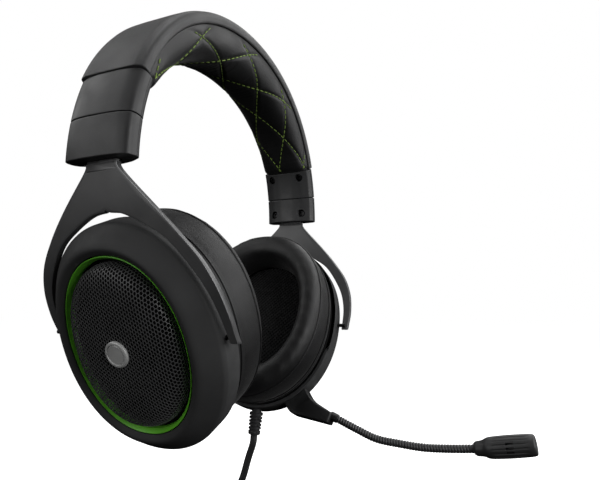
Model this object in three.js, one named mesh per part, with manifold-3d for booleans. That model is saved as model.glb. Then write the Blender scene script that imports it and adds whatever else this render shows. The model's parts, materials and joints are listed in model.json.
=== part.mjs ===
// Wired over-ear gaming headset with a detachable boom microphone.
// Millimetres, Z up. The wearer faces -Y and the wearer's left is +X.
// The origin is the underside of the headband pad, where it rests on the crown of the head.

import * as THREE from 'three';
import { mergeVertices } from 'three/addons/utils/BufferGeometryUtils.js';
import Module from 'manifold-3d';

// Clearance between neighbouring pieces.
const GAP = 0.3;

// Headband: half a circle seen from the front, a little fuller at the shoulders.
// Radial sizes are measured from its outer face.
const BAND_RADIUS = 88.2;
const BAND_CENTRE_Z = -68.9;
const BAND_SHOULDER = 1.6;
const BAND_SWEEP_STEPS = 22;
const SLEEVE_SEAM_ANGLE = 10.9;
const SLEEVE_TOP_ANGLE = 23.6;
const SEAM_HALF_ANGLE = 0.12;
const COVER_THICKNESS = 5.6;
const PAD_DEPTH = 20.8;
const PAD_END_DEPTH = 12.6;
const PAD_HALF_WIDTH = 15;
const PAD_ROUNDNESS = 2.8;
const SPRING_WIDTH = 13;
const SPRING_THICKNESS = 1.2;
const SPRING_DEPTH = 8;
const SPRING_END_ANGLE = 13;

// Sleeve: half of its section as [across, radial], from the outer face round to the inner face.
const SLEEVE_HALF_SECTION = [
  [5.5, 0.2], [11, -0.3], [14.8, -1.3], [16.1, -2.9], [16.3, -5.4], [15.0, -8.5], [10, -11.0], [4, -12.3],
];
const SLEEVE_SPLIT_DEPTH = 6;

// Sleeve screws.
const SCREW_OFFSET = 9.5;
const SCREW_ANGLES = { lower: 3.7, upper: 20.6 };
const SCREW_HEAD_RADIUS = 2.2;
const SCREW_HEAD_HEIGHT = 1.4;
const SCREW_SHANK_RADIUS = 1;
const SCREW_HEAD_DEPTH = 9.2;
const SCREW_TIP_DEPTH = 5;

// Yoke: a flat strap bent round a level axis, with a straight stem that slides in the sleeve.
const YOKE_RADIUS = 156;
const YOKE_CENTRE = { x: -72.5, z: -50.6 };
const YOKE_TOE = 1.8;
const YOKE_THICKNESS = 3;
const YOKE_TOP_Z = -69.8;
const YOKE_NECK_X = 82.3;
const STEM_WIDTH = 15;
const STEM_THICKNESS = 2.4;
const STEM_LENGTH = 30;
const SLIDE_TILT = 5;
const SLIDE_TRAVEL = 24;

// Yoke edges as [across, height] from the neck to the arm's end.
const YOKE_OUTER_EDGE = [[8, -69.8], [9.6, -73.3], [23.8, -87.8], [32.4, -97.2], [44.0, -115.6], [47.7, -134.5]];
const YOKE_INNER_EDGE = [[0, -88.3], [8, -89.6], [27.3, -100.2], [39.2, -116.2], [43.5, -134.5]];

// Pivot between each yoke and its ear cup, a level fore-and-aft axis.
const PIVOT = { x: 58.6, z: -134.5 };
const PIN_RADIUS = 1;
const PIN_HOLE_RADIUS = 1.25;
const PIN_INNER_END = 36.2;
const PIN_OUTER_END = 45.8;

// Ear cup: ovals in a plane that leans in at the bottom and out at the front.
// Depth is measured outward from the cup's centre.
const CUP_CENTRE = { x: 54.1, z: -134.9 };
const CUP_TILT = 22.4;
const CUP_TOE = 1.4;
const OVAL_POWER = 2.1;
const OVAL_STRETCH = 7.8;
const OVAL_SEGMENTS = 28;

// Ear cup sections as [half width, depth]. Half height is half width plus OVAL_STRETCH.
const BEZEL_SECTION = [
  [41.4, -3.5], [41.4, 5.8], [40.8, 7.4], [38.2, 10.4], [34.2, 13.7], [32.8, 14.2],
  [30.3, 12.9], [30.3, 9.2], [33.6, 10.6], [37.2, 8.0], [39.6, 5.0], [39.6, -3.5],
];
const BEZEL_NOTCH = { bottom: -9, depth: 1.6 };
const ACCENT_SECTION = [[29.9, 9.3], [29.9, 12.8], [29.3, 12.8], [28.4, 11.1], [28.4, 9.3]];
const GRILLE_SECTION = [
  [10, 17.4], [20, 16.9], [24.4, 15.8], [27.0, 13.8], [27.9, 10.6], [27.9, 9.0],
  [26.9, 9.0], [26.9, 10.5], [26.1, 13.2], [23.8, 14.9], [19.8, 15.9], [10, 16.4],
];
const HOUSING_SECTION = [
  [31.0, 8.4], [36.2, 7.6], [38.9, 4.5], [39.2, -2.6], [36.6, -3.6], [36.6, -8.6],
  [34.6, -8.6], [34.6, -3.4], [36.8, -1.6], [36.8, 3.6], [35.2, 5.8], [30.0, 6.4],
];
const BAFFLE_SECTION = [[34.2, -6.4], [34.2, -8.4]];
const SCRIM_SECTION = [[25.2, -9.5], [25.2, -10.1]];
const CUSHION_SECTION = [
  [38.9, -4.1], [40.4, -9], [41.1, -16], [41.1, -22.6], [39.6, -28.0], [36.2, -31.0], [30.8, -31.0],
  [27.8, -28.4], [26.6, -23.6], [26.2, -9.0], [37.0, -9.0], [37.0, -4.1],
];
const BADGE_SIZE = 5.5;
const BADGE_THICKNESS = 0.8;

// Speaker driver, turned about the cup's axis, as [radius, depth].
const DRIVER_HOLE_RADIUS = 25.4;
const DRIVER_SECTION = [
  [0, 4.6], [10, 4.6], [10, 0.6], [19, -1.6], [22, -5.4], [25, -5.6], [25, -8.2],
  [22.5, -8.2], [12, -6.9], [0, -7.6],
];

// Volume dial, a wheel whose edge stands out of the left cup's rear wall.
const DIAL_RADIUS = 7;
const DIAL_HALF_THICKNESS = 2.2;
const DIAL_CENTRE_RADIUS = 35.9;
const DIAL_ANGLE = -20;
const DIAL_DEPTH = 1.8;

// Mute button, a round cap below the dial.
const MUTE_ANGLE = -43;
const MUTE_DEPTH = 1.8;
const MUTE_RADIUS = 3.2;
const MUTE_FLANGE_RADIUS = 4.3;
const MUTE_STAND_OUT = 1.2;

// Boom microphone: a foot under the left cup with a jack that plugs in, at [rearward, up] in the cup plane.
const MIC_FOOT = [[-17.4, -44], [-27.6, -34], [-33.2, -41.1], [-46.4, -47.4], [-44.9, -52.8], [-23.0, -49.8]];
const MIC_FOOT_DEPTH = { from: -2.6, to: 6.2 };
const MIC_JACK_POINT = { x: -23.4, y: -42.2 };
const MIC_JACK_DIRECTION = { x: -0.57, y: -0.82 };
const MIC_JACK_RADIUS = 1.75;
const MIC_JACK_LENGTH = 12;
const MIC_AXIS_DEPTH = 1.8;
const SOCKET_OUTER_RADIUS = 3.4;
const SOCKET_INNER_RADIUS = 2.1;

// Gooseneck joints, from the foot to the microphone head.
const BOOM_RADIUS = 1.8;
const BOOM_COLLAR = { radius: 2.7, length: 5 };
const BOOM_POINTS = [
  [37.2, -49.4, -181.9],
  [37.2, -69.5, -189.4],
  [36.6, -92.8, -190.9],
  [35.4, -116.4, -188.6],
];
const HEAD_END = [34.1, -143.9, -183.5];
const HEAD_SECTION = [
  [0, 0.2], [2.5, 0.2], [3.2, 1.4], [3.5, 4.6], [4.4, 6.6], [4.8, 9], [4.9, 22], [4.4, 26.4], [0, 27.2],
];

// Cable: strain relief, lead, tied coil and plug.
const CABLE_DIAMETER = 3.8;
const RELIEF_ROOT = [36.0, -1.6, -179.0];
const RELIEF_TIP = [35.2, -0.3, -193.7];
const RELIEF_SECTION = [[0, 0], [2.6, 0], [2.6, 3.2], [3.7, 3.6], [3.7, 6], [3.3, 14.2], [2.3, 14.8], [0, 14.8]];
const COIL_CENTRE = [34.6, 22, -270];
const COIL_MEAN_RADIUS = 22;
const COIL_SECTION_RADIUS = 8.2;
const LEAD_POINTS = [
  [35.0, 2.9, -206.5], [34.6, 6.6, -219.3], [34.5, 10.5, -228.6], [34.6, 13.6, -235.6], [34.6, 15.2, -238.2],
];
const TIE_WIDTH = 6;
const TIE_THICKNESS = 1;
const TAIL_X = 21.6;
const TAIL_Y = 40;
const TAIL_TOP_Z = -255;
const TAIL_BOTTOM_Z = -266;
const PLUG_SECTION = [[0, 0], [2.3, 0], [2.7, 8], [3.9, 9], [4.1, 12], [4.1, 21], [3.4, 24], [0, 24]];
const PLUG_PIN_SECTION = [[0, 0], [1.75, 0], [1.75, 10.4], [1.2, 11.2], [1.6, 12.4], [0.5, 14], [0, 14]];

// Materials as [colour, roughness, metalness].
const SHELL = ['#3b3c3e', 0.5, 0.0];
const INNER_SHELL = ['#2a2b2c', 0.6, 0.0];
const STEEL = ['#8f9296', 0.35, 1.0];
const YOKE_METAL = ['#3f4042', 0.38, 0.8];
const LEATHER = ['#222325', 0.62, 0.0];
const GRILLE = ['#2b2c2d', 0.45, 0.7];
const GREEN = ['#4f9a2c', 0.45, 0.0];
const BADGE = ['#c4c6c8', 0.3, 0.9];
const CLOTH = ['#1b1b1c', 0.95, 0.0];
const RUBBER = ['#1d1e1f', 0.7, 0.0];
const GOLD = ['#c9a24a', 0.25, 1.0];

const wasm = await Module();
wasm.setup();

const headset = new THREE.Group();

function radians(degrees) {
  return THREE.MathUtils.degToRad(degrees);
}

// A geometry with shared corners and no empty triangles.
function welded(geometry) {
  const bare = new THREE.BufferGeometry();
  bare.setAttribute('position', geometry.getAttribute('position').clone());
  if (geometry.index) bare.setIndex(geometry.index.clone());
  const merged = mergeVertices(bare, 1e-4);
  const corners = merged.index.array;
  const kept = [];
  for (let i = 0; i < corners.length; i += 3) {
    const [a, b, c] = [corners[i], corners[i + 1], corners[i + 2]];
    if (a !== b && b !== c && c !== a) kept.push(a, b, c);
  }
  merged.setIndex(kept);
  return merged;
}

function signedVolume(geometry) {
  const position = geometry.getAttribute('position');
  const corners = geometry.index.array;
  const [a, b, c] = [new THREE.Vector3(), new THREE.Vector3(), new THREE.Vector3()];
  let volume = 0;
  for (let i = 0; i < corners.length; i += 3) {
    a.fromBufferAttribute(position, corners[i]);
    b.fromBufferAttribute(position, corners[i + 1]);
    c.fromBufferAttribute(position, corners[i + 2]);
    volume += a.dot(b.cross(c)) / 6;
  }
  return volume;
}

// The same body with every face pointing outward.
function facedOut(geometry) {
  const body = welded(geometry);
  if (signedVolume(body) < 0) body.setIndex(Array.from(body.index.array).reverse());
  return body;
}

function toManifold(geometry) {
  const body = facedOut(geometry);
  return new wasm.Manifold(new wasm.Mesh({
    numProp: 3,
    vertProperties: Float32Array.from(body.getAttribute('position').array),
    triVerts: Uint32Array.from(body.index.array),
  }));
}

function fromManifold(body) {
  const mesh = body.getMesh();
  const geometry = new THREE.BufferGeometry();
  geometry.setAttribute('position', new THREE.BufferAttribute(Float32Array.from(mesh.vertProperties), 3));
  geometry.setIndex(Array.from(mesh.triVerts));
  return geometry;
}

function cut(geometry, ...tools) {
  let body = toManifold(geometry);
  for (const tool of tools) body = body.subtract(toManifold(tool));
  return fromManifold(body);
}

function joined(first, second) {
  return fromManifold(toManifold(first).add(toManifold(second)));
}

function common(first, second) {
  return fromManifold(toManifold(first).intersect(toManifold(second)));
}

// A body through a row of closed point rings. A loop joins the last ring to the first.
function skinned(rings, isLoop = false) {
  const count = rings[0].length;
  const points = rings.flat();
  const corners = [];
  const bands = isLoop ? rings.length : rings.length - 1;
  for (let band = 0; band < bands; band += 1) {
    const near = band * count;
    const far = ((band + 1) % rings.length) * count;
    for (let i = 0; i < count; i += 1) {
      const next = (i + 1) % count;
      corners.push(near + i, near + next, far + next, near + i, far + next, far + i);
    }
  }
  if (!isLoop) {
    addCap(points, corners, rings[0], 0, false);
    addCap(points, corners, rings[rings.length - 1], (rings.length - 1) * count, true);
  }
  const geometry = new THREE.BufferGeometry().setFromPoints(points);
  geometry.setIndex(corners);
  return facedOut(geometry);
}

function addCap(points, corners, ring, start, isEnd) {
  const middle = ring.reduce((sum, point) => sum.add(point), new THREE.Vector3()).divideScalar(ring.length);
  const centre = points.push(middle) - 1;
  for (let i = 0; i < ring.length; i += 1) {
    const here = start + i;
    const next = start + ((i + 1) % ring.length);
    if (isEnd) corners.push(centre, here, next);
    else corners.push(centre, next, here);
  }
}

const BAND_ARC = { radius: BAND_RADIUS, x: 0, z: BAND_CENTRE_Z, shoulder: BAND_SHOULDER };
const YOKE_ARC = { radius: YOKE_RADIUS, x: YOKE_CENTRE.x, z: YOKE_CENTRE.z, shoulder: 0 };

// A section of [across, radial] points swept round a level fore-and-aft axis, between two angles.
function arcBody(sectionAt, fromAngle, toAngle, steps, arc = BAND_ARC) {
  const rings = [];
  for (let step = 0; step <= steps; step += 1) {
    const t = step / steps;
    const angle = radians(THREE.MathUtils.lerp(fromAngle, toAngle, t));
    const radius = arc.radius + arc.shoulder * Math.sin(2 * angle) ** 2;
    rings.push(sectionAt(t).map(([across, radial]) => new THREE.Vector3(
      arc.x + (radius + radial) * Math.cos(angle),
      across,
      arc.z + (radius + radial) * Math.sin(angle),
    )));
  }
  return skinned(rings);
}

// A flat band section, between two radial depths.
function bandSection(halfWidth, outer, inner) {
  return [[-halfWidth, outer], [halfWidth, outer], [halfWidth, inner], [-halfWidth, inner]];
}

// A whole section from its positive half.
function mirroredSection(half) {
  return [...half, ...half.map(([across, radial]) => [-across, radial]).reverse()];
}

function mirroredGeometry(geometry) {
  const copy = geometry.clone();
  copy.scale(-1, 1, 1);
  return facedOut(copy);
}

function box(sizeX, sizeY, sizeZ, x, y, z) {
  const geometry = new THREE.BoxGeometry(sizeX, sizeY, sizeZ);
  geometry.translate(x, y, z);
  return geometry;
}

// A turned body whose profile is [radius, distance] along the line between two points.
function turned(profile, from, towards, segments) {
  const geometry = new THREE.LatheGeometry(profile.map(([r, y]) => new THREE.Vector2(r, y)), segments);
  const start = new THREE.Vector3(...from);
  const direction = new THREE.Vector3(...towards).sub(start).normalize();
  const turn = new THREE.Quaternion().setFromUnitVectors(new THREE.Vector3(0, 1, 0), direction);
  geometry.applyQuaternion(turn);
  geometry.translate(start.x, start.y, start.z);
  return facedOut(geometry);
}

function rod(radius, from, towards, length, segments = 12) {
  return turned([[0, 0], [radius, 0], [radius, length], [0, length]], from, towards, segments);
}

// A plain tube along a smooth curve.
function tube(curve, steps) {
  const section = new THREE.Shape();
  const sides = 8;
  for (let i = 0; i < sides; i += 1) {
    const angle = (2 * Math.PI * i) / sides;
    const [x, y] = [CABLE_DIAMETER / 2 * Math.cos(angle), CABLE_DIAMETER / 2 * Math.sin(angle)];
    if (i === 0) section.moveTo(x, y);
    else section.lineTo(x, y);
  }
  section.closePath();
  return facedOut(new THREE.ExtrudeGeometry(section, { steps, extrudePath: curve, bevelEnabled: false }));
}

// Cup frame: X rearward, Y up the cup, Z outward along the cup's axis.
const cupFrame = new THREE.Matrix4().makeBasis(
  new THREE.Vector3(0, 1, 0),
  new THREE.Vector3(0, 0, 1),
  new THREE.Vector3(1, 0, 0),
).premultiply(new THREE.Matrix4().makeRotationZ(radians(CUP_TOE)))
  .premultiply(new THREE.Matrix4().makeRotationY(radians(CUP_TILT)))
  .setPosition(CUP_CENTRE.x, 0, CUP_CENTRE.z);

function inCup(geometry) {
  return geometry.clone().applyMatrix4(cupFrame);
}

function cupPoint(x, y, z) {
  return new THREE.Vector3(x, y, z).applyMatrix4(cupFrame).toArray();
}

function signedPower(value, power) {
  return Math.sign(value) * Math.abs(value) ** power;
}

// One oval of the cup family, at a half width and a depth.
function ovalRing([halfWidth, depth]) {
  const ring = [];
  for (let i = 0; i < OVAL_SEGMENTS; i += 1) {
    const angle = (2 * Math.PI * i) / OVAL_SEGMENTS;
    ring.push(new THREE.Vector3(
      halfWidth * signedPower(Math.cos(angle), 2 / OVAL_POWER),
      (halfWidth + OVAL_STRETCH) * signedPower(Math.sin(angle), 2 / OVAL_POWER),
      depth,
    ));
  }
  return ring;
}

// A ring-shaped body of the cup family.
function ovalLoop(section) {
  return skinned(section.map(ovalRing), true);
}

// A dish-shaped or solid body of the cup family, closed across the middle.
function ovalDish(section) {
  return skinned(section.map(ovalRing));
}

function addPiece(name, geometry, [colour, roughness, metalness]) {
  const body = facedOut(geometry);
  body.computeVertexNormals();
  const mesh = new THREE.Mesh(body, new THREE.MeshStandardMaterial({ color: colour, roughness, metalness }));
  mesh.name = name;
  headset.add(mesh);
}

// The left piece and its mirror image on the right.
function addPair(name, geometry, look) {
  addPiece(`left_${name}`, geometry, look);
  addPiece(`right_${name}`, mirroredGeometry(geometry), look);
}

// Headband ---------------------------------------------------------------------------------------

function coverSection() {
  return mirroredSection([[7, 0.6], [13, 0.3], [15.5, -0.7], [16.1, -2.4], [15.9, -COVER_THICKNESS]]);
}

// The pad is thickest at the crown and thins towards the sleeves.
function padSection(t) {
  const bulge = Math.sin(Math.PI * t) ** 0.6;
  const depth = THREE.MathUtils.lerp(PAD_END_DEPTH, PAD_DEPTH, bulge);
  const top = COVER_THICKNESS + GAP;
  const half = [0, 16, 34, 52, 70, 84].map((angle) => [
    PAD_HALF_WIDTH * Math.cos(radians(angle)) ** (2 / PAD_ROUNDNESS),
    -(top + (depth - top) * Math.sin(radians(angle)) ** (2 / PAD_ROUNDNESS)),
  ]);
  return mirroredSection(half);
}

const bandStart = SLEEVE_TOP_ANGLE + SEAM_HALF_ANGLE;
const springChannel = arcBody(
  () => bandSection(SPRING_WIDTH / 2 + GAP, -SPRING_DEPTH + GAP, -SPRING_DEPTH - SPRING_THICKNESS - GAP),
  SPRING_END_ANGLE - 1,
  180 - SPRING_END_ANGLE + 1,
  BAND_SWEEP_STEPS,
);

addPiece(
  'headband_cover',
  arcBody(coverSection, bandStart, 180 - bandStart, BAND_SWEEP_STEPS),
  LEATHER,
);
addPiece(
  'headband_pad',
  cut(arcBody(padSection, bandStart, 180 - bandStart, BAND_SWEEP_STEPS), springChannel),
  LEATHER,
);
addPiece(
  'spring_band',
  arcBody(
    () => bandSection(SPRING_WIDTH / 2, -SPRING_DEPTH, -SPRING_DEPTH - SPRING_THICKNESS),
    SPRING_END_ANGLE,
    180 - SPRING_END_ANGLE,
    BAND_SWEEP_STEPS,
  ),
  STEEL,
);

// Sleeves ----------------------------------------------------------------------------------------

function stemBox(width, thickness, below, above) {
  const geometry = new THREE.BoxGeometry(thickness, width, above + below);
  geometry.translate(0, 0, (above - below) / 2);
  geometry.rotateY(-radians(SLIDE_TILT));
  geometry.translate(YOKE_NECK_X, 0, YOKE_TOP_Z);
  return geometry;
}

const stemChannel = stemBox(STEM_WIDTH + 4 * GAP, STEM_THICKNESS + 2 * GAP, 4, STEM_LENGTH + 2);

function bandPoint(angle, radial, across) {
  const radius = BAND_RADIUS + radial + BAND_SHOULDER * Math.sin(radians(2 * angle)) ** 2;
  return [radius * Math.cos(radians(angle)), across, BAND_CENTRE_Z + radius * Math.sin(radians(angle))];
}

function screwHole(angle, across) {
  const counterbore = rod(
    SCREW_HEAD_RADIUS + GAP,
    bandPoint(angle, -SCREW_HEAD_DEPTH + SCREW_HEAD_HEIGHT + GAP, across),
    bandPoint(angle, -SCREW_HEAD_DEPTH * 2, across),
    8,
  );
  const shankHole = rod(
    SCREW_SHANK_RADIUS + GAP / 2,
    bandPoint(angle, -SCREW_TIP_DEPTH + GAP, across),
    bandPoint(angle, -SCREW_HEAD_DEPTH, across),
    SCREW_HEAD_DEPTH - SCREW_TIP_DEPTH,
    8,
  );
  return joined(counterbore, shankHole);
}

function screw(angle, across) {
  const reach = SCREW_HEAD_DEPTH - SCREW_TIP_DEPTH;
  const profile = [
    [0, 0], [SCREW_HEAD_RADIUS, 0], [SCREW_HEAD_RADIUS, SCREW_HEAD_HEIGHT],
    [SCREW_SHANK_RADIUS, SCREW_HEAD_HEIGHT], [SCREW_SHANK_RADIUS, reach], [0, reach],
  ];
  return turned(profile, bandPoint(angle, -SCREW_HEAD_DEPTH, across), bandPoint(angle, 0, across), 8);
}

function addSleeve(level, fromAngle, toAngle) {
  const body = arcBody(() => mirroredSection(SLEEVE_HALF_SECTION), fromAngle, toAngle, 3);
  const outerZone = arcBody(
    () => bandSection(20, 6, -SLEEVE_SPLIT_DEPTH + GAP / 2),
    fromAngle - 1,
    toAngle + 1,
    5,
  );
  const innerZone = arcBody(
    () => bandSection(20, -SLEEVE_SPLIT_DEPTH - GAP / 2, -20),
    fromAngle - 1,
    toAngle + 1,
    5,
  );
  const holes = [-SCREW_OFFSET, SCREW_OFFSET].map((across) => screwHole(SCREW_ANGLES[level], across));
  addPair(`${level}_sleeve_shell`, cut(common(body, outerZone), stemChannel, ...holes), SHELL);
  addPair(`${level}_sleeve_plate`, cut(common(body, innerZone), stemChannel, springChannel, ...holes), SHELL);
  addPair(`${level}_front_screw`, screw(SCREW_ANGLES[level], -SCREW_OFFSET), STEEL);
  addPair(`${level}_rear_screw`, screw(SCREW_ANGLES[level], SCREW_OFFSET), STEEL);
}

addSleeve('lower', 0, SLEEVE_SEAM_ANGLE - SEAM_HALF_ANGLE);
addSleeve('upper', SLEEVE_SEAM_ANGLE + SEAM_HALF_ANGLE, SLEEVE_TOP_ANGLE - SEAM_HALF_ANGLE);

// Yokes ------------------------------------------------------------------------------------------

function yokeOutline() {
  const toPoints = (edge) => new THREE.SplineCurve(edge.map(([y, z]) => new THREE.Vector2(y, z))).getPoints(16);
  const outer = toPoints(YOKE_OUTER_EDGE);
  const inner = toPoints(YOKE_INNER_EDGE).reverse();
  const tipY = (YOKE_OUTER_EDGE.at(-1)[0] + YOKE_INNER_EDGE.at(-1)[0]) / 2;
  const tipRadius = (YOKE_OUTER_EDGE.at(-1)[0] - YOKE_INNER_EDGE.at(-1)[0]) / 2;
  const tip = [];
  for (const angle of [-30, -60, -90, -120, -150]) {
    tip.push(new THREE.Vector2(
      tipY + tipRadius * Math.cos(radians(angle)),
      PIVOT.z + 1.4 * tipRadius * Math.sin(radians(angle)),
    ));
  }
  const half = [...outer, ...tip, ...inner];
  const otherHalf = half.slice(0, -1).map((point) => new THREE.Vector2(-point.x, point.y)).reverse();
  return new THREE.Shape([...half, ...otherHalf]);
}

const yokeBlank = new THREE.ExtrudeGeometry(yokeOutline(), { depth: 60, bevelEnabled: false });
yokeBlank.applyMatrix4(new THREE.Matrix4().makeBasis(
  new THREE.Vector3(0, 1, 0),
  new THREE.Vector3(0, 0, 1),
  new THREE.Vector3(1, 0, 0),
).setPosition(40, 0, 0));
const yokeSheet = arcBody(
  () => bandSection(60, YOKE_THICKNESS / 2, -YOKE_THICKNESS / 2),
  -36,
  -4,
  16,
  YOKE_ARC,
);
const frontPinHole = rod(PIN_HOLE_RADIUS, [PIVOT.x, -PIN_OUTER_END - GAP, PIVOT.z], [PIVOT.x, 0, PIVOT.z], 14);
const rearPinHole = rod(PIN_HOLE_RADIUS, [PIVOT.x, PIN_OUTER_END + GAP, PIVOT.z], [PIVOT.x, 0, PIVOT.z], 14);
const yokeBlade = common(yokeBlank, yokeSheet);
yokeBlade.translate(-YOKE_NECK_X, 0, 0);
yokeBlade.rotateZ(radians(YOKE_TOE));
yokeBlade.translate(YOKE_NECK_X, 0, 0);
const yoke = joined(yokeBlade, stemBox(STEM_WIDTH, STEM_THICKNESS, 3, STEM_LENGTH));
addPair('yoke', cut(yoke, frontPinHole, rearPinHole), YOKE_METAL);

const pinLength = PIN_OUTER_END - PIN_INNER_END;
addPair('front_pivot_pin', rod(PIN_RADIUS, [PIVOT.x, -PIN_OUTER_END, PIVOT.z], [PIVOT.x, 0, PIVOT.z], pinLength), STEEL);
addPair('rear_pivot_pin', rod(PIN_RADIUS, [PIVOT.x, PIN_OUTER_END, PIVOT.z], [PIVOT.x, 0, PIVOT.z], pinLength), STEEL);

// Ear cups ---------------------------------------------------------------------------------------

// A point on the cup's rim plane at an angle from straight back, as cup coordinates.
function rimPoint(angle, radius, depth) {
  return [radius * Math.cos(radians(angle)), radius * Math.sin(radians(angle)), depth];
}

// How far out the bezel's wall is at an angle.
function rimRadius(angle) {
  const [across, up] = [Math.cos(radians(angle)), Math.sin(radians(angle))];
  const halfWidth = BEZEL_SECTION[0][0];
  const sum = Math.abs(across / halfWidth) ** OVAL_POWER + Math.abs(up / (halfWidth + OVAL_STRETCH)) ** OVAL_POWER;
  return sum ** (-1 / OVAL_POWER);
}

const notchHeight = 60;
const bezelNotch = box(
  120,
  notchHeight,
  10,
  0,
  BEZEL_NOTCH.bottom + notchHeight / 2,
  BEZEL_NOTCH.depth - 5,
);
const bezelBlank = cut(inCup(ovalLoop(BEZEL_SECTION)), inCup(bezelNotch), frontPinHole, rearPinHole);
const housingBlank = cut(inCup(ovalDish(HOUSING_SECTION)), frontPinHole, rearPinHole);

const dialCentre = rimPoint(DIAL_ANGLE, DIAL_CENTRE_RADIUS, DIAL_DEPTH);
const dialSlot = box(
  20,
  2 * DIAL_RADIUS + 2 * GAP,
  2 * DIAL_HALF_THICKNESS + 2 * GAP,
  DIAL_CENTRE_RADIUS + 10 - 4,
  0,
  DIAL_DEPTH,
);
dialSlot.rotateZ(radians(DIAL_ANGLE));

const muteRim = rimRadius(MUTE_ANGLE);
const muteAxis = [cupPoint(...rimPoint(MUTE_ANGLE, muteRim, MUTE_DEPTH)), cupPoint(0, 0, MUTE_DEPTH)];
const muteHole = rod(MUTE_RADIUS + GAP, cupPoint(...rimPoint(MUTE_ANGLE, muteRim + 6, MUTE_DEPTH)), muteAxis[1], 14);
const muteRecess = rod(
  MUTE_FLANGE_RADIUS + GAP,
  cupPoint(...rimPoint(MUTE_ANGLE, muteRim - 2.6, MUTE_DEPTH)),
  muteAxis[1],
  6,
);

const reliefHole = rod(RELIEF_SECTION[1][0] + GAP, RELIEF_ROOT, RELIEF_TIP, 3.3 + 3, 16);

function jackPoint(distance) {
  return cupPoint(
    MIC_JACK_POINT.x + distance * MIC_JACK_DIRECTION.x,
    MIC_JACK_POINT.y + distance * MIC_JACK_DIRECTION.y,
    MIC_AXIS_DEPTH,
  );
}

const jackHole = rod(SOCKET_INNER_RADIUS, jackPoint(3), jackPoint(-20), 24);
const socketPocket = rod(SOCKET_OUTER_RADIUS + GAP, jackPoint(-4.6), jackPoint(-20), 14);

const leftWallTools = [inCup(dialSlot), muteHole, reliefHole, jackHole];
addPiece('left_bezel', cut(bezelBlank, ...leftWallTools), SHELL);
addPiece('right_bezel', mirroredGeometry(bezelBlank), SHELL);
addPiece('left_housing', cut(housingBlank, ...leftWallTools, muteRecess, socketPocket), INNER_SHELL);
addPiece('right_housing', mirroredGeometry(housingBlank), INNER_SHELL);

addPair('accent_ring', inCup(ovalLoop(ACCENT_SECTION)), GREEN);
addPair('grille', inCup(ovalDish(GRILLE_SECTION)), GRILLE);

const badgeBase = GRILLE_SECTION[0][1] + GAP;
const badgeProfile = [
  [0, badgeBase], [BADGE_SIZE, badgeBase], [BADGE_SIZE, badgeBase + BADGE_THICKNESS * 0.6],
  [BADGE_SIZE - 0.4, badgeBase + BADGE_THICKNESS], [0, badgeBase + BADGE_THICKNESS],
];
addPair('badge', turned(badgeProfile, cupPoint(0, 0, 0), cupPoint(0, 0, 1), 24), BADGE);

const driverHole = rod(DRIVER_HOLE_RADIUS, cupPoint(0, 0, -12), cupPoint(0, 0, 0), 12, 28);
addPair('baffle', cut(inCup(ovalDish(BAFFLE_SECTION)), driverHole), INNER_SHELL);
addPair('driver', turned(DRIVER_SECTION, cupPoint(0, 0, 0), cupPoint(0, 0, 1), 24), STEEL);
addPair('scrim', inCup(ovalDish(SCRIM_SECTION)), CLOTH);
addPair('ear_cushion', inCup(ovalLoop(CUSHION_SECTION)), LEATHER);

// Left cup controls ------------------------------------------------------------------------------

const dialProfile = [
  [0, -DIAL_HALF_THICKNESS], [DIAL_RADIUS - 0.5, -DIAL_HALF_THICKNESS], [DIAL_RADIUS, -DIAL_HALF_THICKNESS + 0.5],
  [DIAL_RADIUS, DIAL_HALF_THICKNESS - 0.5], [DIAL_RADIUS - 0.5, DIAL_HALF_THICKNESS], [0, DIAL_HALF_THICKNESS],
];
const dialAbove = [dialCentre[0], dialCentre[1], dialCentre[2] + 1];
addPiece('volume_dial', turned(dialProfile, cupPoint(...dialCentre), cupPoint(...dialAbove), 20), RUBBER);

const muteProfile = [
  [0, -MUTE_STAND_OUT], [MUTE_RADIUS - 0.5, -MUTE_STAND_OUT], [MUTE_RADIUS, -MUTE_STAND_OUT + 0.5],
  [MUTE_RADIUS, 6], [MUTE_FLANGE_RADIUS, 6], [MUTE_FLANGE_RADIUS, 7.2], [0, 7.2],
];
addPiece('mute_button', turned(muteProfile, muteAxis[0], muteAxis[1], 14), RUBBER);

// Boom microphone --------------------------------------------------------------------------------

const socketProfile = [
  [SOCKET_INNER_RADIUS, 0], [SOCKET_OUTER_RADIUS, 0], [SOCKET_OUTER_RADIUS, 11], [SOCKET_INNER_RADIUS, 11],
  [SOCKET_INNER_RADIUS, 0],
];
addPiece('mic_socket', turned(socketProfile, jackPoint(-5), jackPoint(-20), 16), GOLD);

const footShape = new THREE.Shape(MIC_FOOT.map(([x, y]) => new THREE.Vector2(x, y)));
const footBlank = new THREE.ExtrudeGeometry(footShape, {
  depth: MIC_FOOT_DEPTH.to - MIC_FOOT_DEPTH.from,
  bevelEnabled: false,
});
footBlank.translate(0, 0, MIC_FOOT_DEPTH.from);
const wallClearance = BEZEL_SECTION[0][0] + GAP;
const cupSweep = inCup(ovalDish([[wallClearance, -20], [wallClearance, 20]]));
const boomStart = new THREE.Vector3(...BOOM_POINTS[0]);
const boomDirection = new THREE.Vector3(...BOOM_POINTS[1]).sub(boomStart).normalize();
const collarRoot = boomStart.clone().addScaledVector(boomDirection, -BOOM_COLLAR.length).toArray();
const boomCollar = rod(BOOM_COLLAR.radius, collarRoot, BOOM_POINTS[0], BOOM_COLLAR.length - GAP);
const micFoot = joined(cut(inCup(footBlank), cupSweep), boomCollar);
addPiece('mic_foot', cut(micFoot, jackHole), SHELL);
addPiece('mic_jack', rod(MIC_JACK_RADIUS, jackPoint(2.4), jackPoint(-20), 2.4 + MIC_JACK_LENGTH), GOLD);

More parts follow.
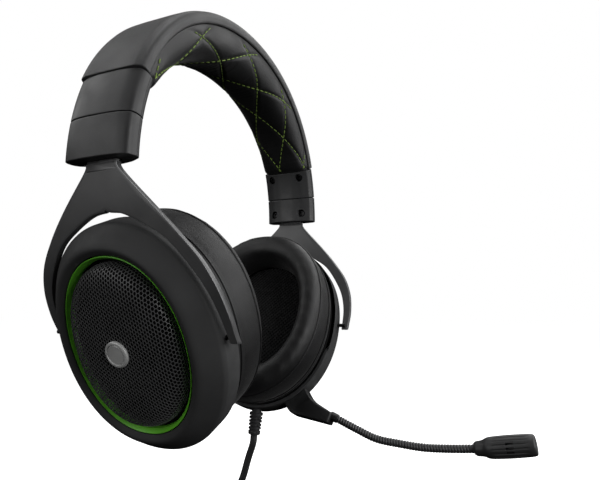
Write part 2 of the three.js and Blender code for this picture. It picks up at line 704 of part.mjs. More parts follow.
// A round-ended rod between two joints, short of each by half the clearance.
function boomSegment(from, to) {
  const length = new THREE.Vector3(...from).distanceTo(new THREE.Vector3(...to));
  const profile = [];
  for (const angle of [-90, -60, -30, 0]) {
    profile.push([BOOM_RADIUS * Math.cos(radians(angle)), GAP / 2 + BOOM_RADIUS * (1 + Math.sin(radians(angle)))]);
  }
  for (const angle of [0, 30, 60, 90]) {
    const ending = length - GAP / 2 - BOOM_RADIUS * (1 - Math.sin(radians(angle)));
    profile.push([BOOM_RADIUS * Math.cos(radians(angle)), ending]);
  }
  profile[0][0] = 0;
  profile.at(-1)[0] = 0;
  return turned(profile, from, to, 10);
}

for (let i = 0; i < BOOM_POINTS.length - 1; i += 1) {
  addPiece(`boom_segment_${i + 1}`, boomSegment(BOOM_POINTS[i], BOOM_POINTS[i + 1]), RUBBER);
}
addPiece('mic_head', turned(HEAD_SECTION, BOOM_POINTS.at(-1), HEAD_END, 16), SHELL);

// Cable ------------------------------------------------------------------------------------------

addPiece('strain_relief', turned(RELIEF_SECTION, RELIEF_ROOT, RELIEF_TIP, 12), RUBBER);

const reliefAxis = new THREE.Vector3(...RELIEF_TIP).sub(new THREE.Vector3(...RELIEF_ROOT)).normalize();
const leadStart = new THREE.Vector3(...RELIEF_ROOT).addScaledVector(reliefAxis, RELIEF_SECTION.at(-1)[1] + GAP);
const leadSecond = leadStart.clone().addScaledVector(reliefAxis, 5);
const leadCurve = new THREE.CatmullRomCurve3([
  leadStart,
  leadSecond,
  ...LEAD_POINTS.map((point) => new THREE.Vector3(...point)),
], false, 'centripetal');
addPiece('cable_lead', tube(leadCurve, 8), RUBBER);

// The coil hangs edge on to the wearer's face, its axis across the head.
const coilSection = [];
const coilSides = 10;
for (let i = 0; i <= coilSides; i += 1) {
  const angle = (2 * Math.PI * (i % coilSides)) / coilSides;
  coilSection.push([
    COIL_MEAN_RADIUS + COIL_SECTION_RADIUS * Math.cos(angle),
    COIL_SECTION_RADIUS * Math.sin(angle),
  ]);
}
const coilSide = [COIL_CENTRE[0] + 1, COIL_CENTRE[1], COIL_CENTRE[2]];
addPiece('cable_coil', turned(coilSection, COIL_CENTRE, coilSide, 24), RUBBER);

const tieInner = COIL_SECTION_RADIUS + 2 * GAP;
const tieProfile = [
  [tieInner, 0], [tieInner + TIE_THICKNESS, 0], [tieInner + TIE_THICKNESS, TIE_WIDTH], [tieInner, TIE_WIDTH],
  [tieInner, 0],
];
const tieStart = [COIL_CENTRE[0], COIL_CENTRE[1] - TIE_WIDTH / 2, COIL_CENTRE[2] + COIL_MEAN_RADIUS];
addPiece('cable_tie', turned(tieProfile, tieStart, [tieStart[0], tieStart[1] + 1, tieStart[2]], 16), RUBBER);

const tailCurve = new THREE.LineCurve3(
  new THREE.Vector3(TAIL_X, TAIL_Y, TAIL_TOP_Z),
  new THREE.Vector3(TAIL_X, TAIL_Y, TAIL_BOTTOM_Z),
);
addPiece('cable_tail', tube(tailCurve, 2), RUBBER);

const plugTop = [TAIL_X, TAIL_Y, TAIL_BOTTOM_Z - GAP];
const below = [TAIL_X, TAIL_Y, TAIL_BOTTOM_Z - 50];
const plugEnd = [TAIL_X, TAIL_Y, plugTop[2] - PLUG_SECTION.at(-1)[1] - GAP];
addPiece('plug_grip', turned(PLUG_SECTION, plugTop, below, 16), RUBBER);
addPiece('plug_pin', turned(PLUG_PIN_SECTION, plugEnd, below, 12), GOLD);

export default headset;
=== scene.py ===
import functools
import json
from math import atan2, copysign, cos, dist, exp, hypot, pi, radians, sin, sqrt

import bmesh
import bpy
import numpy as np
from mathutils import Matrix, Vector
from mathutils.bvhtree import BVHTree


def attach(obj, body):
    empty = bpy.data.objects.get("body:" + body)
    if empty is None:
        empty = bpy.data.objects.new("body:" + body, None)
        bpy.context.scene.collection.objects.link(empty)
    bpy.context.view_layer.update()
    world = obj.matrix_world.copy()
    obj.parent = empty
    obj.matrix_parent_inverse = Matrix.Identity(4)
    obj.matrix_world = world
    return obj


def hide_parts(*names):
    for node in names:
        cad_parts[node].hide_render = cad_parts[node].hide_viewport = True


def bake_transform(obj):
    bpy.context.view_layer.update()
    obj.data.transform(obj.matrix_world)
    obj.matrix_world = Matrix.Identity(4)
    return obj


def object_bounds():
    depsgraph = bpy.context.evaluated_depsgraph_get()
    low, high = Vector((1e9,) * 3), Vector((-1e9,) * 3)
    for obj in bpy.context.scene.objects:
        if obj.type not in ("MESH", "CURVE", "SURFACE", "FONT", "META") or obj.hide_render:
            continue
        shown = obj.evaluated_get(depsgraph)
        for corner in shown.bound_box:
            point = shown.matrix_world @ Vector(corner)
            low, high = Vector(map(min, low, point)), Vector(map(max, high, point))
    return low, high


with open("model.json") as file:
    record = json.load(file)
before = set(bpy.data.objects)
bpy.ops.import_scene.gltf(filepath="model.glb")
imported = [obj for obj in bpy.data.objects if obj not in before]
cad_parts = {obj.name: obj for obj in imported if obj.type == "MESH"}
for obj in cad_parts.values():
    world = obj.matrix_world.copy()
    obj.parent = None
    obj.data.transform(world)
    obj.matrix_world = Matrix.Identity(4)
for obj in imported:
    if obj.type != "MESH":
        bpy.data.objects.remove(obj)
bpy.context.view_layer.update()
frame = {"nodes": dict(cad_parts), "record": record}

# Lengths are millimetres until a mesh is made. The frame is the CAD part's: Z up, the wearer faces -Y.
MM = 0.001
SIDES = (("left", 1), ("right", -1))
RECORD = frame["record"]


def named(rows, name):
    return next(row for row in rows if row["name"] == name)


# ---- camera
CAMERA_PLACE = Vector((-224.8, -146.85, -122.31))
CAMERA_YAW, CAMERA_PITCH, CAMERA_ROLL = 65.44, 7.03, 0.1
CAMERA_LENS, CAMERA_SENSOR = 31.1, 36


def linked(name, data):
    """A new object in the scene."""
    obj = bpy.data.objects.new(name, data)
    bpy.context.collection.objects.link(obj)
    return obj


def add_camera():
    data = bpy.data.cameras.new("camera")
    data.lens, data.sensor_width = CAMERA_LENS, CAMERA_SENSOR
    data.clip_start, data.clip_end = 0.01, 20
    camera = linked("camera", data)
    camera.matrix_world = Matrix.Translation(CAMERA_PLACE * MM)
    for angle, axis in ((-CAMERA_YAW, "Z"), (90 + CAMERA_PITCH, "X"), (CAMERA_ROLL, "Z")):
        camera.matrix_world = camera.matrix_world @ Matrix.Rotation(radians(angle), 4, axis)
    bpy.context.scene.camera = camera


add_camera()

# ---- materials
BLACK, WHITE = (0, 0, 0), (1, 1, 1)


class Look:
    """A procedural material: a Principled shader with noise in its colour and roughness, and a chain of bumps."""

    def __init__(self, name, roughness, metallic=0.0, specular=0.5, sheen=0.0):
        self.material = bpy.data.materials.new(name)
        self.material.use_nodes = True
        self.tree = self.material.node_tree
        self.shader = self.tree.nodes["Principled BSDF"]
        for socket, value in (("Metallic", metallic), ("Specular IOR Level", specular), ("Sheen Weight", sheen),
                              ("Sheen Roughness", 0.4), ("Roughness", roughness)):
            self.shader.inputs[socket].default_value = value
        self.roughness = roughness
        self.place = self.node("ShaderNodeTexCoord").outputs["Object"]

    def node(self, kind, inputs=None, **settings):
        """A new node. Its inputs are given values, or other nodes' outputs to be joined to."""
        made = self.tree.nodes.new(kind)
        for key, value in settings.items():
            setattr(made, key, value)
        for socket, value in (inputs or {}).items():
            if isinstance(value, bpy.types.NodeSocket):
                self.tree.links.new(value, made.inputs[socket])
            else:
                made.inputs[socket].default_value = value
        return made

    def to_shader(self, output, socket):
        self.tree.links.new(output, self.shader.inputs[socket])

    def mapped(self, scale, turn=0.0, vector=None):
        """Coordinates scaled along each axis, then turned round Z."""
        inputs = {"Vector": vector or self.place, "Scale": scale, "Rotation": (0, 0, radians(turn))}
        return self.node("ShaderNodeMapping", inputs).outputs["Vector"]

    def noise(self, scale, detail=3, vector=None, output="Fac"):
        inputs = {"Vector": vector or self.place, "Scale": scale, "Detail": detail}
        return self.node("ShaderNodeTexNoise", inputs).outputs[output]

    def cells(self, scale, feature="F1", vector=None):
        inputs = {"Vector": vector or self.place, "Scale": scale}
        return self.node("ShaderNodeTexVoronoi", inputs, feature=feature).outputs["Distance"]

    def ramp(self, value, low, high, low_at=0.35, high_at=0.65):
        made = self.node("ShaderNodeValToRGB", {"Fac": value})
        for element, position, colour in zip(made.color_ramp.elements, (low_at, high_at), (low, high)):
            element.position, element.color = position, (*colour, 1)
        return made.outputs["Color"]

    def mix(self, factor, under, over, blend="MIX"):
        inputs = {"Factor": factor, "A": under, "B": over}
        return self.node("ShaderNodeMix", inputs, data_type="RGBA", blend_type=blend).outputs["Result"]

    def colour(self, base, variation=0.12, scale=45.0):
        """Slow, slight colour variation round a base colour."""
        low, high = ([c * (1 + change) for c in base] for change in (-variation, variation))
        made = self.ramp(self.noise(scale, 4), low, high)
        self.to_shader(made, "Base Color")
        return made

    def over(self, under, colour, mask):
        """Lays a colour over what the base colour was, where the mask is white."""
        self.to_shader(self.mix(mask, under, (*colour, 1)), "Base Color")

    def highlit_and_worn_edges(self, under, colour):
        """A lighter colour on convex edges, broken up by noise: a painted highlight along the edges, together with
        wear.
        """
        edges = self.ramp(self.node("ShaderNodeNewGeometry").outputs["Pointiness"], BLACK, WHITE, 0.52, 0.6)
        patches = self.ramp(self.noise(220, 5), (0.35, 0.35, 0.35), WHITE)
        self.over(under, colour, self.mix(1, edges, patches, "MULTIPLY"))

    def uneven_roughness(self, amount, scale):
        inputs = {"Value": self.noise(scale, 4), "From Min": 0.3, "From Max": 0.7,
                  "To Min": self.roughness - amount, "To Max": self.roughness + amount}
        self.to_shader(self.node("ShaderNodeMapRange", inputs).outputs["Result"], "Roughness")

    def relief(self, *layers):
        """Adds layers of (height, millimetres, strength), and gives the finished material."""
        inputs = {}
        for height, distance, strength in layers:
            inputs.update({"Height": height, "Distance": distance * MM, "Strength": strength})
            inputs["Normal"] = self.node("ShaderNodeBump", inputs).outputs["Normal"]
        self.to_shader(inputs["Normal"], "Normal")
        return self.material


def moulded_plastic(name, base, roughness, edge=None, grain=0.05, specular=0.4):
    look = Look(name, roughness, specular=specular)
    colour = look.colour(base)
    # The edge colour paints a highlight along convex edges, together with wear.
    if edge:
        look.highlit_and_worn_edges(colour, edge)
    look.uneven_roughness(0.07, 130)
    return look.relief((look.noise(1500, 2), grain, 0.5), (look.noise(90), 0.12, 0.25))


def leather(name, base, cell, depth, roughness=0.5):
    """Grained leather: cells with warped borders, which are darker and lower."""
    look = Look(name, roughness, specular=0.42, sheen=0.08)
    colour = look.colour(base, 0.16, 30)
    shift = look.node("ShaderNodeVectorMath", {0: look.noise(320, 2, output="Color"), "Scale": 0.0012},
                      operation="SCALE").outputs["Vector"]
    warped = look.node("ShaderNodeVectorMath", {0: look.place, 1: shift}, operation="ADD").outputs["Vector"]
    creases = look.cells(cell, "DISTANCE_TO_EDGE", warped)
    look.over(colour, [c * 0.62 for c in base], look.ramp(creases, WHITE, BLACK, 0.0, 0.09))
    look.uneven_roughness(0.08, 60)
    return look.relief((look.ramp(creases, BLACK, WHITE, 0.0, 0.22), depth, 0.55), (look.noise(120, 4), 0.3, 0.2))


def brushed_metal(name, base, roughness, along, metallic=1.0):
    look = Look(name, roughness, metallic=metallic)
    look.colour(base, 0.1, 80)
    look.uneven_roughness(0.08, 200)
    return look.relief((look.noise(900, vector=look.mapped(along)), 0.03, 0.6), (look.noise(300), 0.03, 0.3))


def rubber(name, base, roughness=0.62):
    look = Look(name, roughness, specular=0.35)
    look.colour(base, 0.2, 90)
    look.uneven_roughness(0.08, 240)
    return look.relief((look.noise(2200, 2), 0.03, 0.6), (look.cells(700), 0.03, 0.4))


def knitted_mesh(name, base, hole):
    """Spacer cloth with small round openings in staggered rows. Its UV map is in millimetres."""
    look = Look(name, 0.9, specular=0.15, sheen=0.12)
    uv = look.node("ShaderNodeUVMap", uv_map="cloth_mm").outputs["UV"]
    rows = look.mapped((0.62, 0.62, 0.62), 45, uv)
    inputs = {"Vector": rows, "Scale": 1.0, "Randomness": 0.0}
    dots = look.node("ShaderNodeTexVoronoi", inputs, feature="F1", voronoi_dimensions="2D")
    distance = dots.outputs["Distance"]
    look.over(look.colour(base, 0.25, 400), hole, look.ramp(distance, WHITE, BLACK, 0.22, 0.34))
    return look.relief((look.ramp(distance, BLACK, WHITE, 0.2, 0.42), 0.5, 0.8), (look.noise(5200, 2), 0.06, 0.7))


EVEN = (1, 1, 1)
# The edge colours of the shell, bezel and bracket paint highlights on their convex edges, together with wear.
SHELL = moulded_plastic("satin_shell", (0.032, 0.0322, 0.033), 0.46, edge=(0.07, 0.071, 0.074))
BEZEL = moulded_plastic("satin_bezel", (0.039, 0.0392, 0.0398), 0.6, edge=(0.07, 0.071, 0.072), grain=0.03,
                        specular=0.2)
BRACKET = moulded_plastic("bracket_shell", (0.014, 0.014, 0.0145), 0.4, edge=(0.05, 0.051, 0.052))
INNER = moulded_plastic("inner_shell", (0.0035, 0.0035, 0.0037), 0.7, specular=0.12)
YOKE_PAINT = moulded_plastic("yoke_paint", (0.075, 0.0752, 0.0765), 0.36, grain=0.02, specular=0.5)
GRILLE = moulded_plastic("grille_paint", (0.075, 0.075, 0.077), 0.4, grain=0.01, specular=0.5)
GREEN = moulded_plastic("green_ring", (0.13, 0.5, 0.03), 0.36, grain=0.01, specular=0.5)
BAND_LEATHER = leather("band_leather", (0.029, 0.0292, 0.03), 1250, 0.09, 0.48)
PAD_LEATHER = leather("pad_leather", (0.0058, 0.0058, 0.0062), 1500, 0.05)
CUSHION_LEATHER = leather("cushion_leather", (0.0088, 0.0088, 0.0092), 1500, 0.05)
PIPING = leather("piping_leather", (0.006, 0.006, 0.0065), 1800, 0.04)
THREAD = leather("stitch_thread", (0.25, 0.38, 0.07), 3000, 0.05, 0.7)
CLOTH = knitted_mesh("scrim_cloth", (0.018, 0.018, 0.0185), (0.0015, 0.0015, 0.0015))
SOFT_RUBBER = rubber("soft_rubber", (0.018, 0.018, 0.019))
CABLE_RUBBER = rubber("cable_rubber", (0.02, 0.02, 0.0205), 0.5)
# The yoke's chamfer metal is lighter than its paint: a painted highlight line along the arms' edges.
YOKE_EDGE_HIGHLIGHT = brushed_metal("yoke_edge", (0.2, 0.202, 0.206), 0.34, EVEN, 0.6)
GOOSENECK = brushed_metal("gooseneck", (0.062, 0.062, 0.064), 0.42, EVEN, 0.35)
BLACK_SCREW = brushed_metal("black_screw", (0.012, 0.012, 0.013), 0.42, EVEN, 0.6)
BADGE = brushed_metal("badge_metal", (0.5, 0.502, 0.495), 0.45, (1, 18, 1), 0.25)
STEEL = brushed_metal("steel", (0.5, 0.5, 0.51), 0.3, (20, 1, 1))
GOLD = brushed_metal("gold_plate", (0.8, 0.58, 0.24), 0.22, (1, 1, 20))

# ---- mesh helpers
# A shape is a pair: points in millimetres, and faces.


def new_object(name, shape, closed=True):
    """A linked mesh object with doubled points merged and, if it is closed, with its faces turned outwards."""
    verts, faces = shape
    mesh = bpy.data.meshes.new(name)
    mesh.from_pydata([tuple(c * MM for c in v) for v in verts], [], faces)
    work = bmesh.new()
    work.from_mesh(mesh)
    bmesh.ops.remove_doubles(work, verts=work.verts, dist=1e-7)
    if closed:
        bmesh.ops.recalc_face_normals(work, faces=work.faces)
    work.to_mesh(mesh)
    work.free()
    return linked(name, mesh)


def piece(name, shape, body, looks, stands_for=(), crease=40, closed=True):
    """A visible object that rides a body and stands for CAD nodes."""
    obj = new_object(name, shape, closed)
    for material in looks if isinstance(looks, list) else [looks]:
        obj.data.materials.append(material)
    finish_shading(obj, crease)
    if body:
        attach(obj, body)
    if stands_for:
        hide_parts(*stands_for)
    return obj


def finish_shading(obj, crease=40):
    obj.data.shade_smooth()
    obj.data.set_sharp_from_angle(angle=radians(crease))


def apply_modifiers(obj):
    graph = bpy.context.evaluated_depsgraph_get()
    mesh = bpy.data.meshes.new_from_object(obj.evaluated_get(graph))
    mesh.name = obj.name
    old = obj.data
    obj.modifiers.clear()
    obj.data = mesh
    bpy.data.meshes.remove(old)


def add_bevel(obj, angle=40, material=-1):
    bevel = obj.modifiers.new("bevel", "BEVEL")
    bevel.width = 0.3 * MM
    bevel.segments = 2
    bevel.limit_method = "ANGLE"
    bevel.angle_limit = radians(angle)
    bevel.material = material
    apply_modifiers(obj)


def carve(obj, tools):
    """Cuts closed shapes out of a piece."""
    tools = [new_object("tool", shape) for shape in tools]
    for tool in tools:
        cut = obj.modifiers.new("cut", "BOOLEAN")
        cut.operation = "DIFFERENCE"
        cut.solver = "EXACT"
        cut.object = tool
    bpy.context.view_layer.update()
    apply_modifiers(obj)
    for tool in tools:
        bpy.data.objects.remove(tool)
    finish_shading(obj)


def merge(target, other):
    """Adds another object's mesh to a piece, and removes that object."""
    work = bmesh.new()
    work.from_mesh(target.data)
    work.from_mesh(other.data)
    work.to_mesh(target.data)
    work.free()
    bpy.data.objects.remove(other)
    finish_shading(target, 35)


def to_side(shape, side):
    """A shape made for the left, where side is 1, or its mirror image for the right."""
    verts, faces = shape
    return [Vector((p[0] * side, p[1], p[2])) for p in verts], faces


def loft(rings, loop=False):
    """Faces through a row of closed rings of equally many points. It is capped, or joined into a loop."""
    count = len(rings[0])
    verts = [p for ring in rings for p in ring]
    faces = []
    for band in range(len(rings) if loop else len(rings) - 1):
        near, far = band * count, ((band + 1) % len(rings)) * count
        for i in range(count):
            j = (i + 1) % count
            faces.append((near + i, near + j, far + j, far + i))
    if not loop:
        faces.append(tuple(reversed(range(count))))
        faces.append(tuple(range((len(rings) - 1) * count, len(rings) * count)))
    return verts, faces


def joined(shapes):
    verts, faces = [], []
    for points, sides in shapes:
        faces += [tuple(len(verts) + i for i in face) for face in sides]
        verts += points
    return verts, faces


def rounded(points, closed=False, steps=4):
    """A profile whose corners, given as (a, b, radius), become short curves."""
    out = []
    for i, point in enumerate(points):
        corner, radius = Vector(point[:2]), point[2] if len(point) > 2 else 0
        if not radius or (not closed and i in (0, len(points) - 1)):
            out.append(tuple(corner))
            continue
        ways = [Vector(points[(i + step) % len(points)][:2]) - corner for step in (-1, 1)]
        start, end = (corner + way.normalized() * min(radius, way.length * 0.48) for way in ways)
        for k in range(steps + 1):
            t = k / steps
            out.append(tuple(start * (1 - t) ** 2 + corner * 2 * t * (1 - t) + end * t * t))
    return out


def box(centre, a, b, c, low, high):
    """A box round a centre: a and b are half its width and depth, and it reaches from low to high along c."""
    return loft([[centre + a * i + b * j + c * level for i, j in ((-1, -1), (1, -1), (1, 1), (-1, 1))]
                 for level in (low, high)])


def inset(outline, amount):
    """An outline's points, each moved towards their middle."""
    middle = sum((Vector(p) for p in outline), Vector((0, 0))) / len(outline)
    return [Vector(p) + (middle - Vector(p)).normalized() * amount for p in outline]


def circle(centre, side, other, count, radius):
    """Points round a centre, in the plane of two directions. The radius is a function of the angle."""
    ring = []
    for k in range(count):
        angle = 2 * pi * k / count
        r = radius(angle)
        ring.append(centre + side * (r * cos(angle)) + other * (r * sin(angle)))
    return ring


def lathe(profile, start, towards, sides=40, wobble=lambda angle, radius, distance: 1):
    """A turned body. Profile points are (radius, distance) from start along the axis."""
    start, towards = Vector(start), Vector(towards)
    axis = (towards - start).normalized()
    side = axis.orthogonal().normalized()
    other = axis.cross(side)
    return loft([circle(start + axis * distance, side, other, sides,
                        lambda angle: max(radius, 0.001) * wobble(angle, radius, distance))
                 for radius, distance in profile])


def drum(radius, low, high, start, towards, sides):
    return lathe([(0, low), (radius, low), (radius, high), (0, high)], start, towards, sides)


def smooth_path(points, per_span):
    """Catmull-Rom points through a row of places."""
    places = [Vector(p) for p in points]
    places = [places[0] * 2 - places[1], *places, places[-1] * 2 - places[-2]]
    out = []
    for a, b, c, d in zip(places, places[1:], places[2:], places[3:]):
        for k in range(per_span):
            t = k / per_span
            out.append(0.5 * ((2 * b) + (c - a) * t + (2 * a - 5 * b + 4 * c - d) * t * t
                              + (3 * b - a - 3 * c + d) * t ** 3))
    out.append(places[-2])
    return out


def divided(points, spans=None, step=None):
    """The same path with evenly spaced points, given how many spans it has or about how long they are."""
    lengths = [0, *np.cumsum([(b - a).length for a, b in zip(points, points[1:])])]
    even = np.linspace(0, lengths[-1], (spans or max(2, round(lengths[-1] / step))) + 1)
    return [Vector(place) for place in zip(*(np.interp(even, lengths, axis) for axis in zip(*points)))]


def swept(points, sides, radius_at):
    """A tube along a path. radius_at(angle, distance) gives its radius."""
    rings, distance = [], 0.0
    along = (points[1] - points[0]).normalized()
    side = along.orthogonal().normalized()
    for i, point in enumerate(points):
        ahead = points[min(i + 1, len(points) - 1)] - points[max(i - 1, 0)]
        along = ahead.normalized()
        side = (side - along * side.dot(along)).normalized()
        if i:
            distance += (point - points[i - 1]).length
        rings.append(circle(point, side, along.cross(side), sides, lambda angle: radius_at(angle, distance)))
    return loft(rings)


def eased(t):
    return t * t * (3 - 2 * t)


# ---- cable: lead, coil, tail, plug
CABLE = 3.8
RELIEF_ROOT, RELIEF_TIP = Vector((36, -1.6, -179)), Vector((35.2, -0.3, -193.7))
COIL_CENTRE = Vector((34.6, 22, -270))
COIL_HALF_WIDTH, COIL_STEPS = 6.1, 30
LAYER_RADII, LAYER_TURNS, LAYER_CHANGE = (27.9, 24, 20.1, 16.2), 3.1, 0.3
BEND_RADIUS = 9
TAIL_X, TAIL_Y, TAIL_END = 21.6, 40, -266


def on_turn(x, y, z, radius, angle):
    """A place on a turn round an axis along X."""
    a = radians(angle)
    return Vector((x, y + radius * cos(a), z + radius * sin(a)))


def cable_route():
    """Points from the strain relief down the lead, round the coil and to the plug."""
    _, centre_y, centre_z = COIL_CENTRE
    first_x = COIL_CENTRE.x - COIL_HALF_WIDTH
    bend_z = centre_z + LAYER_RADII[0] + BEND_RADIUS
    route = smooth_path([
        RELIEF_TIP,
        RELIEF_TIP + (RELIEF_TIP - RELIEF_ROOT).normalized() * 5,
        (35, 2.9, -206.5),
        (34.2, 6.8, -219.3),
        (30.6, 11.4, -227.8),
        (first_x, centre_y - BEND_RADIUS, bend_z),
    ], 12)[:-1]
    route += [on_turn(first_x, centre_y, bend_z, BEND_RADIUS, 180 + 90 * k / 12) for k in range(12)]

    total, change = round(LAYER_TURNS * COIL_STEPS), round(LAYER_CHANGE * COIL_STEPS)
    angle, x_side = 90, -1
    for radius, inner in zip(LAYER_RADII, (*LAYER_RADII[1:], LAYER_RADII[-1])):
        for k in range(total):
            across = min(1, k / (total - change))
            drop = eased(max(0, (k - (total - change)) / change))
            x = COIL_CENTRE.x + x_side * COIL_HALF_WIDTH * (1 - 2 * across)
            route.append(on_turn(x, centre_y, centre_z, radius + (inner - radius) * drop, angle))
            angle -= 360 / COIL_STEPS
        x_side = -x_side

    radius = LAYER_RADII[-1]
    to_top = (angle - 90) % 360
    count = max(1, round(to_top / (360 / COIL_STEPS)))
    for k in range(count):
        x = first_x + (TAIL_X - first_x) * eased(k / count)
        route.append(on_turn(x, centre_y, centre_z, radius, angle - to_top * k / count))
    top_z, turn_y = centre_z + radius, TAIL_Y - BEND_RADIUS
    route += [Vector((TAIL_X, centre_y + (turn_y - centre_y) * k / 4, top_z)) for k in range(4)]
    route += [on_turn(TAIL_X, turn_y, top_z - BEND_RADIUS, BEND_RADIUS, 90 - 90 * k / 10) for k in range(10)]
    route += [Vector((TAIL_X, TAIL_Y, top_z - BEND_RADIUS)), Vector((TAIL_X, TAIL_Y, TAIL_END))]
    return route


def add_cable():
    route = cable_route()
    data = bpy.data.curves.new("cable", "CURVE")
    data.dimensions = "3D"
    data.bevel_depth = CABLE / 2 * MM
    data.bevel_resolution = 5
    data.use_fill_caps = True
    spline = data.splines.new("POLY")
    spline.points.add(len(route) - 1)
    for target, place in zip(spline.points, route):
        target.co = (*(place * MM), 1)
    spline.use_smooth = True
    data.materials.append(CABLE_RUBBER)
    cable = linked("cable", data)
    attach(cable, "left_cup")
    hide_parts("cable_lead", "cable_coil", "cable_tail")
    tie = add_strap()
    plug_grip, plug_pin = add_plug()


def add_strap():
    """A strap round the turns at the top of the coil."""
    outermost, innermost = LAYER_RADII[0], LAYER_RADII[-1]
    room, corner = CABLE / 2 + 0.3, 3.2
    strap_z = COIL_CENTRE.z + (outermost + innermost) / 2
    rings = []
    for y, grow in ((-3, 0), (-3, 0.7), (-2.6, 1), (2.6, 1), (3, 0.7), (3, 0)):
        a, b = COIL_HALF_WIDTH + room + grow, (outermost - innermost) / 2 + room + grow
        r = corner + grow
        outline = rounded([(-a, -b, r), (a, -b, r), (a, b, r), (-a, b, r)], closed=True, steps=6)
        rings.append([(COIL_CENTRE.x + p, COIL_CENTRE.y + y, strap_z + q) for p, q in outline])
    return piece("cable_strap", loft(rings, loop=True), "left_cup", SOFT_RUBBER, ["cable_tie"])


def add_plug():
    """A ribbed grip, and a stepped pin with three insulating rings."""
    top, pin_top, below = ((TAIL_X, TAIL_Y, TAIL_END - drop) for drop in (0.3, 24.6, 50))
    grip = rounded([(0, 0), (2.2, 0, 0.4), (2.6, 7.6, 0.6), (3.9, 9, 0.8), (4.1, 12, 0.5)])
    for k in range(5):
        at = 12.6 + 1.7 * k
        grip += [(4.1, at), (3.75, at + 0.25), (3.75, at + 0.85), (4.1, at + 1.1)]
    grip += rounded([(4.1, 21.4), (4.1, 22, 0.8), (3.4, 24, 0.4), (0, 24)])
    pin = [(0, 0), (1.75, 0)]
    for at in (3, 5.6, 8.2):
        pin += [(1.75, at), (1.62, at + 0.1), (1.62, at + 0.5), (1.75, at + 0.6)]
    pin += [(1.75, 10.4), (1.2, 11.2), (1.35, 12), (1.6, 12.4), (1.5, 12.8), (0.5, 14), (0, 14)]
    return (piece("plug_body", lathe(grip, top, below, 48), "left_cup", SOFT_RUBBER, ["plug_grip"]),
            piece("plug_contact", lathe(pin, pin_top, below), "left_cup", GOLD, ["plug_pin"], crease=30))


add_cable()

# ---- headband
BAND_RADIUS, BAND_CENTRE_Z, BAND_SHOULDER = 88.2, -68.9, 1.6
SLEEVE_SEAM, SLEEVE_TOP, SEAM_HALF = 10.9, 23.6, 0.12
COVER_THICKNESS = 5.6
COVER_HALF = [(7, 0.6), (12.4, 0.45, 0.5), (15.7, -0.5, 1.4), (16.3, -2.6, 0.8), (16.1, -4.9, 0.5),
              (15.7, -COVER_THICKNESS, 0.3)]


def band_point(angle, across, radial):
    a = radians(angle)
    r = BAND_RADIUS + BAND_SHOULDER * sin(2 * a) ** 2 + radial
    return Vector((r * cos(a), across, BAND_CENTRE_Z + r * sin(a)))


def mirrored(half):
    """A closed section of the band from its front half's corners."""
    return rounded(half + [(-p[0], *p[1:]) for p in reversed(half)], closed=True)


def band_sweep(section, start, end, steps, edge):
    """A closed section swept round the band, with softly rounded ends."""
    tips = [(0, edge), (0.12, edge * 0.5), (0.4, edge * 0.12), (0.9, 0)]
    step = edge / radians(BAND_RADIUS)
    first, last = start + step * 1.4, end - step * 1.4
    stations = [(start + step * t, amount) for t, amount in tips]
    stations += [(first + (last - first) * k / steps, 0) for k in range(steps + 1)]
    stations += [(end - step * t, amount) for t, amount in reversed(tips)]
    return loft([[band_point(angle, *p) for p in inset(section, amount)] for angle, amount in stations])


def add_cover():
    start = SLEEVE_TOP + SEAM_HALF
    piece("band_cover", band_sweep(mirrored(COVER_HALF), start, 180 - start, 120, 0.6), "headband", BAND_LEATHER,
          ["headband_cover"], 50)


PAD_DEPTH, PAD_END_DEPTH, PAD_HALF_WIDTH, PAD_ROUNDNESS, PAD_FILL = 22, 13, 15, 2.8, 0.55
PAD_TOP = COVER_THICKNESS + 0.3
PAD_STEPS, PAD_COLUMNS, PAD_ROWS = 96, 72, 300
# Quilting: two families of lines cross the pad. A place's "share" is how far round the section it is, from the front.
CROSSING_STEP, ROW_START, ROW_STEP = 16, 0.105, 0.215
CROSSING_START = 90 - 4 * CROSSING_STEP
LINE_SLOPE = ROW_STEP / CROSSING_STEP
QUILT = [(CROSSING_START + 2 * CROSSING_STEP * k, slope) for k in range(-3, 8) for slope in (LINE_SLOPE, -LINE_SLOPE)]
QUILT_DEPTH, QUILT_WIDTH = 0.55, 1.1
ROLL_DEPTH, ROLL_WIDTH = 0.9, 1.3
MM_PER_DEGREE = radians(BAND_RADIUS - 15)
STITCH, STITCH_GAP, STITCH_RADIUS, STITCH_LIFT = 21, 10, 0.25, 0.2
STITCH_RINGS = {0: 0.3, 1: 0.8, 4: 1, 10: 1, 17: 1, 20: 0.8, 21: 0.3}


@functools.cache
def pad_section(depth):
    """The pad's underside as even (across, radial) points from its front edge to its rear one, and its length."""
    power = 2 / PAD_ROUNDNESS
    points = []
    for k in range(PAD_STEPS * 4 + 1):
        a = pi * k / (PAD_STEPS * 4)
        across = -PAD_HALF_WIDTH * copysign(abs(cos(a)) ** power, cos(a))
        points.append(Vector((across, -(PAD_TOP + (depth - PAD_TOP) * abs(sin(a)) ** power), 0)))
    return divided(points, PAD_STEPS), sum((b - a).length for a, b in zip(points, points[1:]))


def pad_depth(angle):
    t = (angle - SLEEVE_TOP) / (180 - 2 * SLEEVE_TOP)
    return PAD_END_DEPTH + (PAD_DEPTH - PAD_END_DEPTH) * sin(pi * min(max(t, 0), 1)) ** 0.6


